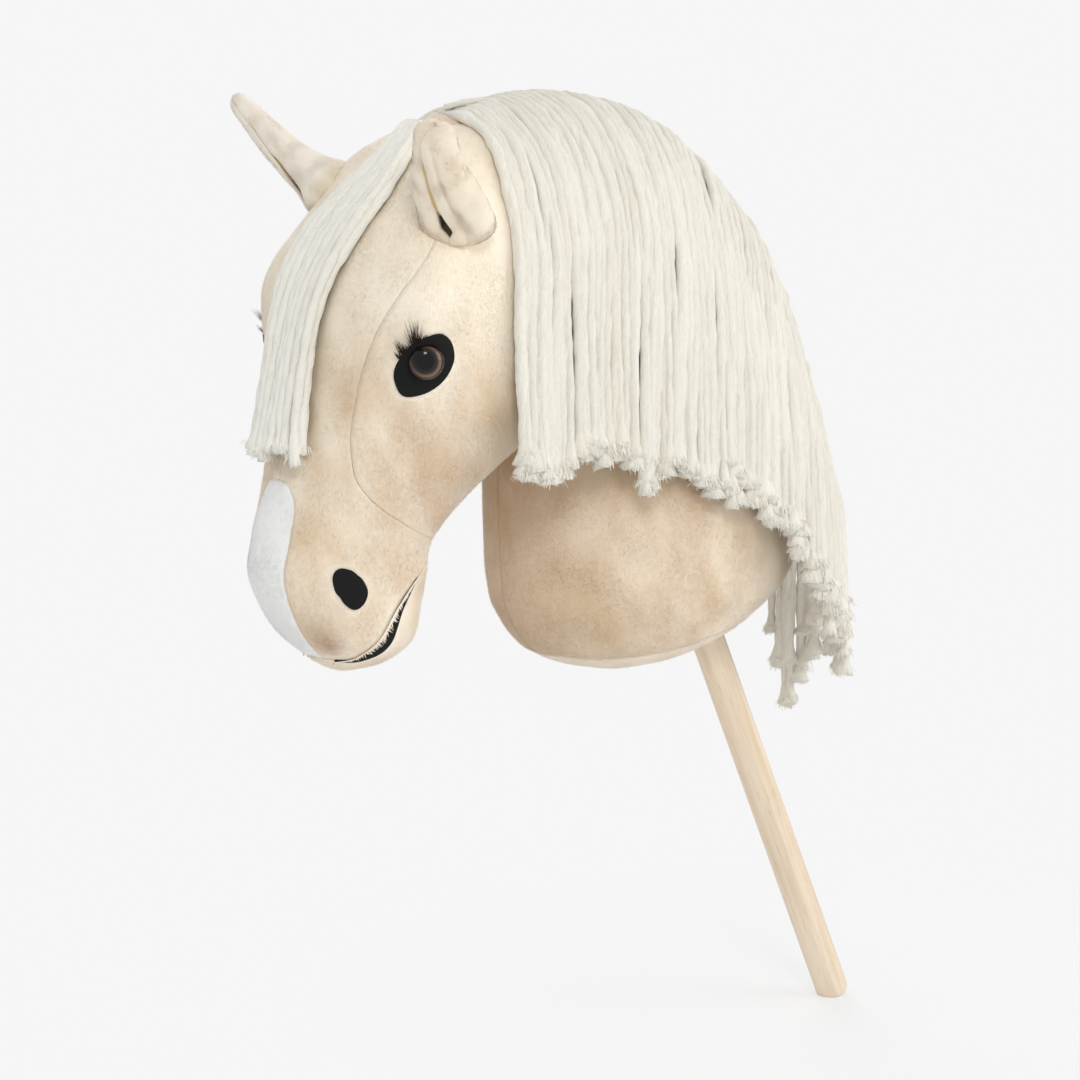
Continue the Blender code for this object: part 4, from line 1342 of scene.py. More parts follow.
    def build_lip_fringe(self, side: Side, cream: Material) -> None:
        """The pile of the lip that hangs over the mouth's edge.

        Each hair is a triangle from a root just outside the lip's edge, across the mouth's line.

        Args:
            side: The side of the horse.
            cream: The plush.
        """
        dice = np.random.default_rng(57)
        count = 330
        u, v = MOUTH.grid(count, np.array([-1.3, 0.7]))
        v = side.value * v
        root, over = (HEAD.off(u[:, k], v[:, k], 1.1) for k in (0, 1))
        out = HEAD.normal(u[:, 0], v[:, 0])
        way = unit(over - root + 1e-6)
        along = unit(np.cross(out, way))
        slant = dice.normal(size=(count, 1)) * 0.3
        length = np.linalg.norm(over - root, axis=1, keepdims=True)
        length = 1.0 + length * 0.62 * dice.random((count, 1)) ** 2.6
        tip = root + (way + along * slant) * length - out * 0.4
        start, wide = root - way * 1.5, along * 0.55
        hairs = Surface(
            np.stack([start - wide, start + wide, tip], 1).reshape(-1, 3),
            corners=np.arange(count * 3).reshape(-1, 3)[:, ::-side.value],
            values={"tone": np.full((count * 3, 1), 0.5), "normal": np.repeat(out, 3, 0)},
        )
        finish_piece(hairs, f"lip_fringe_{side.word}", cream, "cream_plush")


@dataclass(frozen=True)
class Eye:
    """A domed safety eye on its shank, and the lashes over it."""

    side: Side
    station: float = 8.89
    angle: float = 53.8
    radius: float = 12.0
    height: float = 8.5
    back: float = 3.4
    tilt: float = 0.35
    gaze: Triple = (-0.62, -0.76, 0.21)
    shank: float = 3.0
    shank_length: float = 12.0
    # lit: the direction whose side of the iris is painted paler, painted light.
    lit: Triple = (0.555, -0.515, -0.652)
    lash_tufts: tuple[int, ...] = (-22, -31, -36, -41, -50, -59, -66, -76)
    tuft_shares: tuple[float, ...] = (0.3, 0.6, 1.9, 1.3, 0.3, 0.6, 1.1, 0.5)
    tuft_hairs: int = 30
    tuft_spread: float = 0.045
    near_lash: float = 18.0
    far_lash: float = 9.0

    def frame(self) -> tuple[Array, Array, Array, Array]:
        """The eye's place on the skin, its way out and two directions across it.

        Returns:
            The place and the three directions.
        """
        u, v = np.array(self.station), np.array(self.side.value * math.radians(self.angle))
        out = unit(HEAD.normal(u, v) * (1 - self.tilt) + self.looking() * self.tilt)
        up = unit(np.array([0.0, 0.0, 1.0]) - out * out[2])
        return HEAD.at(u, v), out, np.cross(out, up), up

    def looking(self) -> Array:
        """The way that the iris faces under the clear dome."""
        return unit(np.array(self.gaze) * np.array([1.0, self.side.value, 1.0]))

    def build(self) -> None:
        """The dome, an ellipse carried round its axis, whose rim turns in to the shank."""
        spot, out, across, up = self.frame()
        bend, rim = np.linspace(0.0005, math.pi / 2, 40), 1.2
        rise = self.back + rim + (self.height - rim) * np.cos(bend)
        dome = np.stack([self.radius * np.sin(bend), rise], -1)
        rear = np.array([
            [self.radius - 0.15, self.back + 0.6], [self.radius - 0.8, self.back],
            [self.shank, self.back - 0.1], [self.shank, -self.shank_length], [0.01, -self.shank_length],
        ])
        profile = np.concatenate([dome, rear])
        points = spot + lathe(profile, spokes(full_turn(72), across, up), out)
        look = self.looking()
        from_rim = points - (spot + out * (self.back + 1.0))
        from_rim = from_rim - (from_rim @ look)[..., None] * look
        squeeze = 1 - 0.5 * (1 - float(out @ look))
        radius = np.linalg.norm(from_rim, axis=-1) / (self.radius * squeeze)
        behind = np.arange(len(profile)) >= len(dome) - 1
        radius = np.maximum(radius, behind[:, None] * 1.0)
        iris = from_rim / self.radius
        # Painted light: how far each point of the iris faces the lit direction.
        glow = iris @ (np.array(self.lit) * np.array([1.0, self.side.value, 1.0]))
        ball = Surface.grid(points, closed=True, radius=radius, iris=iris, glow=glow).turned_out(True)
        glass = Glass(f"eye_{self.side.word}").material()
        finish_piece(ball, f"eye_{self.side.word}_dome", glass, "eye", f"eye_{self.side.word}")
        self.build_lashes()

    def build_lashes(self) -> None:
        """Fine dark hairs in tufts along the upper front edge of the felt patch.

        Each hair is a strip of three widths along a curve: its root, plus its way times the distance,
        plus the skin's normal times the square of the distance.
        """
        dice = np.random.default_rng(61)
        tufts, count, sign = np.radians(self.lash_tufts), self.tuft_hairs, self.side.value
        turn = (tufts[:, None] + dice.normal(size=(len(tufts), count)) * self.tuft_spread).ravel()
        size = np.repeat(self.tuft_shares, count) * dice.uniform(0.5, 1.1, len(turn))
        station, angle = EYE_PATCH.spots(turn, EYE_PATCH.radius(turn) - dice.uniform(-0.5, 1.5, len(turn)))
        root = HEAD.off(station, sign * angle, 1.2)
        out = HEAD.normal(station, sign * angle)
        away = unit(root - HEAD.at(self.station, sign * math.radians(self.angle)))
        away = unit(0.4 * away + np.array([0.0, 0.0, 1.0]) + dice.normal(size=away.shape) * 0.15)
        longest = self.near_lash if self.side is Side.LEFT else self.far_lash
        length = (longest * size)[:, None, None]
        t = np.linspace(0, 1, 5)[None, :, None]
        spine = root[:, None] + length * (away[:, None] * t * 0.75 + out[:, None] * (0.75 * t - 0.2 * t * t))
        wide = unit(np.cross(away, out))[:, None] * (0.15 * (1 - t) ** 0.7 + 0.02)
        hairs = Surface.joined([Surface.grid(strip) for strip in np.stack([spine - wide, spine + wide], 2)])
        felt = Felt(f"lash_{self.side.word}", (44, 31, 24)).material()
        finish_piece(hairs, f"lashes_{self.side.word}_hairs", felt, "black_felt", f"lashes_{self.side.word}")


@dataclass(frozen=True)
class Neck:
    """The stuffed neck: its filling with the stick's bore, two skins and the base panel."""

    rows: int = 150
    columns: int = 96
    hole: float = 13.1
    bore: float = 14.9
    bore_top: float = 505.5
    tuck: float = 4.6
    gap: float = 0.003

    def seam(self, v: Array) -> Array:
        """The station of the base seam at each angle: it climbs at the back, round the stick."""
        return 1.1 + 0.85 * ((1 - np.cos(v)) / 2) ** 3

    def off_axis(self, a: Array, b: Array, depth: float) -> Array:
        """How far a point of the base, flattened about its pole, lies from the stick's line.

        Args:
            a: Flattened coordinates along the horse.
            b: Those across it.
            depth: How far inside the skin the base is taken.

        Returns:
            The distances.
        """
        spot = NECK.off(np.hypot(a, b), np.arctan2(b, a), -depth)
        axis = Stick().axis
        return np.linalg.norm(spot - (spot @ axis)[..., None] * axis, axis=-1)

    def hole_ring(self, radius: float, turn: Array, depth: float) -> tuple[Array, Array]:
        """The ring on the base at a distance from the stick's line, by halving steps out from its middle.

        Args:
            radius: The distance.
            turn: Directions from the hole's middle.
            depth: How far inside the skin the base is taken.

        Returns:
            The flattened coordinates a and b of the ring.
        """
        a, b = np.meshgrid(np.linspace(-1.2, 1.2, 241), np.linspace(-0.05, 0.05, 3))
        nearest = np.argmin(self.off_axis(a, b, depth))
        centre = a.ravel()[nearest]
        low, high = np.zeros(len(turn)), np.full(len(turn), 1.0)
        for _ in range(24):
            half = (low + high) / 2
            short = self.off_axis(centre + half * np.cos(turn), half * np.sin(turn), depth) < radius
            low, high = np.where(short, half, low), np.where(short, high, half)
        return centre + high * np.cos(turn), high * np.sin(turn)

    def base(self, radius: float, rings: int, columns: int, depth: float) -> tuple[Array, Array]:
        """Rings over the base, from the stick's hole to the seam.

        Args:
            radius: The hole's radius.
            rings: How many rings.
            columns: The points of a ring.
            depth: How far inside the skin the base is taken.

        Returns:
            The points' stations and angles.
        """
        v = full_turn(columns)
        outer = self.seam(v) * np.stack([np.cos(v), np.sin(v)])
        centre = self.hole_ring(radius, np.array([0.0, math.pi]), depth)[0].mean()
        turn = np.arctan2(outer[1], outer[0] - centre)
        inner = np.stack(self.hole_ring(radius, turn, depth))
        share = np.linspace(0, 1, rings)[:, None]
        a, b = inner[:, None] + (outer - inner)[:, None] * share
        return np.hypot(a, b), np.arctan2(b, a)

    def build(self) -> None:
        """Builds the neck: its filling, its two skins and the base panel round the stick's hole."""
        cream = Plush("neck_plush", (232, 216, 193), (214, 192, 163)).material()
        pale = Plush("pale_plush", (236, 222, 202), (226, 209, 185)).material()
        self.build_filling()
        for side in Side:
            self.build_skin(side, cream)
        u, v = (np.concatenate([grid, grid[:, :1]], 1) for grid in self.base(self.hole, 26, 120, 0.0))
        Panel(
            "neck_base_panel", u, np.unwrap(v, axis=1), pale, 71, (0.4, 0.0, -1.0), (0.6, 1.4, 0.0, 0.0),
            NECK, "pale_plush", None, None,
        ).build()

    def build_skin(self, side: Side, cream: Material) -> None:
        """One half of the neck's skin, from throat to crest, less dense under the mane.

        Args:
            side: The side of the horse.
            cream: The plush.
        """
        share = np.linspace(0, 1, self.rows)[:, None] ** 1.05
        v = np.linspace(self.gap, math.pi - self.gap, self.columns)
        low = self.seam(v) + 0.012
        Panel(
            f"neck_skin_{side.word}", low + (NECK.last - 0.9 - low) * share, side.value * v, cream,
            81 + side.value, (0.15, -0.05 * side.value, -1.0), (1.5, 0.5, 0.3, 0.4),
            form=NECK, tone=self.tone, cover=self.cover,
        ).build()

    def tone(self, u: Array, v: Array) -> Array:
        """The neck's tone at stations and angles: painted shade low down, along the throat and under the
        mane's hem, and painted light towards the back, with a little painted shade elsewhere.

        Args:
            u: Stations.
            v: Angles from the front, taken as positive.

        Returns:
            The tone, from -1 where it is darkest to 1 where it is palest.
        """
        spots = NECK.at(u, v)
        hem = through(Mane().hem, np.clip((spots[..., 0] + 371) / 372, 0, 1))
        # Painted shade under the mane's hem and along the throat.
        under = bell(np.maximum(hem - spots[..., 2], 0) / 26.0)
        throat = smooth(1 - v / 1.1)
        rear = smooth((v - 1.3) / 0.8)
        # Painted light towards the back, and a little painted shade elsewhere.
        rear = 0.32 * rear - 0.1 * (1 - rear)
        return -0.15 * smooth((4.0 - u) / 3.0) - 0.2 * under * (1 - rear) - 0.36 * throat + rear

    def cover(self, u: Array, v: Array) -> Array:
        """How dense the pile is: thin where the mane always hides it.

        Args:
            u: Stations.
            v: Angles from the front, taken as positive.

        Returns:
            The density, from 0 to 1.
        """
        spots = NECK.at(u, v)
        hidden = smooth((spots[..., 2] - 470.0) / 40.0) * smooth((spots[..., 0] + 345) / 25.0)
        return 1 - 0.93 * hidden

    def build_filling(self) -> None:
        """The stuffing: from the closed top of the stick's bore down its wall, over the base and up."""
        columns, axis = 96, Stick().axis
        u, v = self.base(self.bore, 14, columns, self.tuck)
        under = NECK.off(u, v, -self.tuck)
        height = under[0] @ axis
        radial = unit(under[0] - height[:, None] * axis)
        wall_height = height + (self.bore_top - height) * np.linspace(1, 0, 12)[:-1, None]
        wall = radial * self.bore + wall_height[..., None] * axis
        cap = radial * np.array([0.01, 0.5])[:, None, None] * self.bore + self.bore_top * axis
        turn = full_turn(columns)
        low = self.seam(turn)
        high = low + (NECK.last - 0.02 - low) * np.linspace(0, 1, 70)[1:, None]
        sides = NECK.off(high, turn, -self.tuck)
        wool = Surface.grid(np.concatenate([cap, wall, under, sides]), closed=True)
        stuffing = Plush("neck_wool", (222, 212, 196), (205, 192, 172)).material()
        finish_piece(wool, "neck_stuffing", stuffing, "stuffing", "neck_filling", fill=0.9)


@dataclass(frozen=True)
class Ear:
    """An ear: a leaf of plush rolled into a narrow cone that is almost closed, with a lining.

    The swell gives its width by the share of its length, and the rolls how far its flaps reach round.
    """

    side: Side
    base: Triple
    tip: Triple
    swell: Pairs
    shell_roll: Pairs
    pale: float
    width: float = 28.0
    flat: float = 0.70
    shell: float = 2.6
    gap: float = 0.3
    lining: float = 1.2
    bends_over: float = 0.28
    facing: Triple = (-0.79, -0.61, -0.1)
    facing_tip: Triple = (-1.0, -0.09, 0.0)
    lining_roll: Pairs = ((0, 2.80), (0.28, 2.80), (0.36, 3.12), (1, 3.12))

    def point(self, t: Array, s: Array, depth: float, rolls: tuple) -> Array:
        """Points of the rolled ear.

        Along the axis by t, and round it by s times the roll's angle: the width times the sine
        sideways and the depth times the cosine towards the back. The width swells and then tapers
        with t, and closes round at both ends. The slit turns from one facing to another on the way
        up. Its front flap curls in, and the rear one has two creases and a fuller lobe behind them.

        Args:
            t: From the root at 0 to the tip at 1.
            s: From one flap's edge at -1 to the other's at 1.
            depth: How far inside the outer face.
            rolls: How far round each flap reaches, as (t, angle) pairs.

        Returns:
            The points.
        """
        base, tip = np.array(self.base, float), np.array(self.tip, float)
        mirror = np.array([1.0, self.side.value, 1.0])
        length = np.linalg.norm(tip - base)
        axis = (tip - base) / length
        turn = smooth((t - 0.1) / 0.9)[..., None]
        facing = mirror * (np.array(self.facing) * (1 - turn) + np.array(self.facing_tip) * turn)
        facing = unit(facing - axis * (facing @ axis)[..., None])
        sideways = np.cross(axis, facing)
        swell = through(self.swell, t)
        swell = swell * np.sqrt(np.clip(1 - (1 - np.clip(t / 0.13, 0.02, 1)) ** 2, 0, 1))
        swell = swell * np.sqrt(np.clip(1 - np.clip((t - 0.92) / 0.08, 0, 0.99) ** 2, 0, 1))
        angle = through(rolls, t) * s
        rear = self.side.value * angle / math.pi
        lobe = 0.12 * smooth((0.72 - t) / 0.16) * smooth((rear - 0.1) / 0.3) * smooth((0.84 - rear) / 0.05)
        crease = 0.17 * bell((rear - 0.82) / 0.035) * smooth((0.97 - t) / 0.2) * smooth((t - 0.03) / 0.1)
        crease = crease + 0.05 * bell((rear + 0.45) / 0.08) * smooth((t - 0.2) / 0.3)
        curl = 0.22 * smooth((-rear - 0.80) / 0.20) ** 1.5 * smooth((t - 0.08) / 0.15)
        near = self.width * swell * (1 + lobe - crease)
        a = np.maximum(near - depth, 0.10 * near)
        b = np.maximum(near * self.flat * (1 - curl) - depth, 0.08 * near)
        bend = 4.0 * np.sin(math.pi * t)
        return (
            base
            + axis * (t * length)[..., None]
            + sideways * (a * np.sin(angle))[..., None]
            - facing * (b * np.cos(angle) - bend)[..., None]
        )

    def build(self, cream: Material, gold: Material) -> None:
        """Builds the shell, its pile and the lining.

        Args:
            cream: The shell's plush.
            gold: The lining's plush.
        """
        t, s = np.meshgrid(np.linspace(0.0, 1.0, 72), np.linspace(-1, 1, 120), indexing="ij")
        outer, inner = (self.point(t, s, depth, self.shell_roll) for depth in (0.0, self.shell))
        out, inwards = outward(outer, outer - outer.mean(1, keepdims=True))
        lumps = 0.7 * ripple(outer, 22.0, 14)
        # The pale share lifts the tone, and it is darker towards the root; the far ear's larger pale share is
        # painted light.
        tone = self.pale + 0.06 * ripple(outer, 30.0, 15) - 0.2 * smooth((0.3 - t) / 0.3)
        shell = Surface.shell(outer + out * lumps[..., None], inner, tone=tone).turned_out(inwards)
        nap = laid(unit(np.array(self.tip, float) - np.array(self.base, float)), out)
        pile = Pile(length=1.5, lean=1.38).cover(outer, out, nap, tone, 91 + self.side.value)
        depths = self.shell + self.gap, self.shell + self.gap + self.lining
        faces = (self.point(t * 0.88 + 0.02, s, depth, self.lining_roll) for depth in depths)
        lining = Surface.shell(*faces).turned_out(inwards)
        word, base = self.side.word, np.array(self.base)
        over = base + (np.array(self.tip) - base) * self.bends_over
        sewn = {"body": Body[f"EAR_{self.side.name}"], "bend": (tuple(base * MM), tuple(over * MM))}
        for surface, name, material, slot, *node in (
            (shell, f"ear_shell_{word}_sewn", cream, "cream_plush", f"ear_shell_{word}"),
            (pile, f"ear_shell_{word}_pile", cream, "cream_plush"),
            (lining, f"ear_lining_{word}_sewn", gold, "ear_lining", f"ear_lining_{word}"),
        ):
            finish_piece(surface, name, material, slot, *node, fill=0.6 if node else None, **sewn)


@dataclass
class Drape:
    """Where a limp rope lies that is laid over the horse and left to hang.

    Its map of half widths has square cells, and a path is smoothed over so many samples each way.
    """

    cell: float = 3.0
    low: tuple[float, float] = (-540.0, 180.0)
    wide: Array = field(default_factory=lambda: np.zeros((200, 190)))
    samples: int = 241
    soft: int = 10

    def __post_init__(self) -> None:
        """Maps how far the head and neck reach sideways at each (x, z)."""
        for form in (HEAD, NECK):
            u = np.linspace(0, form.last, 500)[:, None]
            v = np.linspace(0, math.pi, 300)[None, :]
            spots = form.at(u, v).reshape(-1, 3)
            cells = np.floor((spots[:, [0, 2]] - np.array(self.low)) / self.cell).astype(int)
            np.maximum.at(self.wide, (cells[:, 0], cells[:, 1]), -spots[:, 1])

    def reach(self, x: Array, z: Array) -> Array:
        """The horse's half width at points (x, z).

        Args:
            x: The points' x.
            z: Their z.

        Returns:
            The half widths, the most within a cell of each point.
        """
        i = np.clip(((x - self.low[0]) / self.cell).astype(int), 1, self.wide.shape[0] - 2)
        j = np.clip(((z - self.low[1]) / self.cell).astype(int), 1, self.wide.shape[1] - 2)
        return np.max([self.wide[i + a, j + b] for a in (-1, 0, 1) for b in (-1, 0, 1)], axis=0)

    def path(
        self, root: Array, hang: Array, settle: Array, clearance: float, steps: int
    ) -> Array:
        """Paths from roots (x, y, z) to hanging ends, never inside the horse.

        The height falls slowly at first, x eases over to the hanging line, and the sideways reach is
        the most that the horse has had above, or a quarter round from the root, whichever is more.
        It is then smoothed along the rope.

        Args:
            root: The roots, ropes by 3, with positive y.
            hang: The ends, likewise.
            settle: The share of each rope's fall in which it reaches its hanging line.
            clearance: How far off the skin the rope's middle lies.
            steps: The steps of a path.

        Returns:
            The paths, ropes by steps and one by 3.
        """
        fine = np.linspace(0, 1, self.samples) ** 1.7
        root, hang = root[:, None], hang[:, None]
        z = root[..., 2] + (hang[..., 2] - root[..., 2]) * fine
        fall = np.clip((root[..., 2] - z) / (settle[:, None] * (root[..., 2] - hang[..., 2])), 0, 1)
        ease = np.sqrt(np.clip(1 - (1 - fall) ** 2, 0, 1))
        x = root[..., 0] + (hang[..., 0] - root[..., 0]) * ease
        skin = np.maximum.accumulate(self.reach(x, z + self.cell), axis=1) + clearance
        y = np.maximum(skin, root[..., 1] + (hang[..., 1] - root[..., 1]) * ease)
        y[:, 0] = root[:, 0, 1]
        weights = np.hanning(2 * self.soft + 3)[1:-1]
        weights /= weights.sum()
        ends = ((0, 0), (self.soft, self.soft), (0, 0))
        longer = np.pad(np.stack([x, y, z], -1), ends, mode="reflect", reflect_type="odd")
        paths = sum(weight * longer[:, k:k + self.samples] for k, weight in enumerate(weights))
        pick = np.linspace(0, self.samples - 1, steps + 1)
        low = np.minimum(pick.astype(int), self.samples - 2)
        share = (pick - low)[None, :, None]
        return paths[:, low] * (1 - share) + paths[:, low + 1] * share


@dataclass(frozen=True)
class Ropes:
    """Soft twisted cotton ropes: three faint strands, a frayed end and loose fibres there.

    The waves make a rope uneven: each is a height as a share of the radius, a length in millimetres
    and how often the rope's own start angle is added.
    """

    radius: float = 3.45
    flat: float = 0.84
    corners: int = 11
    lobe: float = 0.045
    pitch: float = 70.0
    flare: float = 1.45
    flare_length: float = 16.0
    fibres: int = 60
    fibre_length: float = 3.6
    pale: float = 0.0
    own_size: tuple[float, float] = (0.88, 1.12)
    own_flare: tuple[float, float] = (0.5, 1.2)
    own_tone: float = 0.25
    root_length: float = 9.0
    waves: tuple[Triple, ...] = ((0.08, 6.5, 1), (0.07, 2.9, 5))
    ragged: float = 1.5
    ragged_length: float = 5.0
    fibre_width: float = 0.32
    fibre_start: float = 4.0
    fibre_least: float = 4.5

    def sweep(self, paths: Array, out: Array, seed: int) -> Surface:
        """Ropes along paths.

        A section is a circle, flattened outwards, with three lobes that turn with the distance over
        the pitch. It swells by the flare near the free end, where its corners end unevenly, and it
        closes to a point at both ends. The value yarn is the section's turned angle as a vector and
        the distance, so that fibres run along the twist.

        Args:
            paths: The paths, ropes by points by 3.
            out: A way out of the fringe for each path point, of the same shape.
            seed: The dice.

        Returns:
            The ropes with their loose end fibres.
        """
        dice = np.random.default_rng(seed)
        count = len(paths)
        along = unit(np.gradient(paths, axis=1))
        across = unit(np.cross(out, along))
        rise = unit(np.cross(along, across))
        distance = travelled(paths, 1)
        left = distance[:, -1:] - distance
        own = dice.uniform(*self.own_size, (count, 1))
        flare = self.flare * dice.uniform(*self.own_flare, (count, 1))
        swell = 1 + flare * smooth(1 - left / self.flare_length) ** 1.5
        swell = swell * (0.75 + 0.25 * smooth(distance / self.root_length + 0.25))
        turn = full_turn(self.corners)
        start = dice.uniform(0, 2 * math.pi, (count, 1))
        angle = turn - (start + distance * 2 * math.pi / self.pitch)[..., None]
        waves = (height * np.sin(distance / length + turns * start) for height, length, turns in self.waves)
        uneven = sum(waves, start=1)
        radius = self.radius * (own * swell * uneven)[..., None] * (1 + self.lobe * np.cos(3 * angle))
        ragged = dice.normal(size=(count, 1, self.corners)) * self.ragged
        ragged = ragged * smooth(1 - left / self.ragged_length)[..., None]
        points = (
            paths[:, :, None]
            + across[:, :, None] * (radius * np.cos(turn))[..., None]
            + rise[:, :, None] * (radius * np.sin(turn) * self.flat)[..., None]
            + along[:, :, None] * ragged[..., None]
        )
        inset = paths[:, -1:, None] + along[:, -1:, None] * 1.8 + (points[:, -1:] - paths[:, -1:, None]) * 0.1
        top = paths[:, :1, None] + (points[:, :1] - paths[:, :1, None]) * 0.02
        points = np.concatenate([top, points, inset], 1)
        travel = distance / 20 + dice.uniform(0, 40, (count, 1))
        travel = np.concatenate([travel[:, :1], travel, travel[:, -1:] - 0.2], 1)
        angle = np.concatenate([angle[:, :1], angle, angle[:, -1:]], 1)
        yarn = np.stack(np.broadcast_arrays(np.cos(angle), np.sin(angle), travel[..., None]), -1)
        # Each rope's tone differs at random; the pale share lightens it, painted light on the forelock.
        tone = dice.normal(size=(count, 1)) * self.own_tone - self.pale
        tone = np.broadcast_to(tone[..., None], angle.shape)
        index = np.arange(points.size // 3).reshape(points.shape[:3])
        after = np.roll(index, -1, 2)
        quads = np.stack([index[:, :-1], index[:, 1:], after[:, 1:], after[:, :-1]], -1).reshape(-1, 4)
        values = {"yarn": yarn.reshape(-1, 3), "tone": tone.reshape(-1, 1)}
        tubes = Surface(points.reshape(-1, 3), quads, values=values)
        return Surface.joined([tubes, self.ends(paths, along, across, rise, tone, dice)])

    def ends(
        self, paths: Array, along: Array, across: Array, rise: Array, tone: Array, dice: np.random.Generator
    ) -> Surface:
        """The loose fibres at the ropes' cut ends: thin strips that fan out and hang.

        Args:
            paths: The ropes' paths.
            along: The way along each rope at each path point.
            across: A way across it.
            rise: The other way across it.
            tone: The ropes' tone.
            dice: The sweep's dice.

        Returns:
            The fibres.
        """
        size = (len(paths), self.fibres, 1)
        turn = dice.uniform(0, 2 * math.pi, size)
        reach = np.sqrt(dice.random(size)) * self.radius * 2.1
        spoke = np.cos(turn) * across[:, -1:] + np.sin(turn) * rise[:, -1:]
        root = paths[:, -1:] - along[:, -1:] * self.fibre_start + spoke * reach
        way = unit(along[:, -1:] + spoke * 0.35 + dice.normal(size=(*size[:2], 3)) * 0.25)
        tip = root + way * (self.fibre_least + self.fibre_length * dice.uniform(0.0, 1.0, size) ** 1.6)
        wide = unit(np.cross(way, spoke)) * self.fibre_width
        spots = np.stack([root - wide, root + wide, tip + wide * 0.5, tip - wide * 0.5], 2).reshape(-1, 3)
        yarn = np.concatenate([np.cos(turn), np.sin(turn), dice.uniform(0, 40, size)], -1).reshape(-1, 3)
        # The loose fibres are painted paler than their rope, painted light against their own shade.
        shade = np.broadcast_to(tone[:, :1, :1] - 0.5, size).reshape(-1, 1)
        values = {"yarn": np.repeat(yarn, 4, 0), "tone": np.repeat(shade, 4, 0)}
        return Surface(spots, np.arange(len(spots)).reshape(-1, 4), values=values)


def heading(middle: Array, across: Array, up: Array, travel: Array) -> Surface:
    """The sewn heading of a fringe: a rounded bar under the ropes' roots, closed at both ends.

    Args:
        middle: The bar's line.
        across: Half its width as a vector, alone or one for each point of the line.
        up: Half its height, likewise.
        travel: The yarn's distance at each point of the line.

    Returns:
        The bar.
    """
    turn = full_turn(12)
    closing = np.ones((len(middle), 1, 1))
    closing[[0, -1]] = 0.01
    points = middle[:, None] + spokes(turn, across, up) * closing
    yarn = np.stack(np.broadcast_arrays(np.cos(turn), np.sin(turn), travel[:, None]), -1)
    return Surface.grid(points, closed=True, yarn=yarn, tone=np.full(points.shape[:2], 0.3))


@dataclass(frozen=True)
class Layer:
    """One layer of the mane: how many ropes, how far they lie off the skin, their roots and their kind."""

    count: int
    clearance: float
    root_out: float
    root_lift: float
    ropes: Ropes


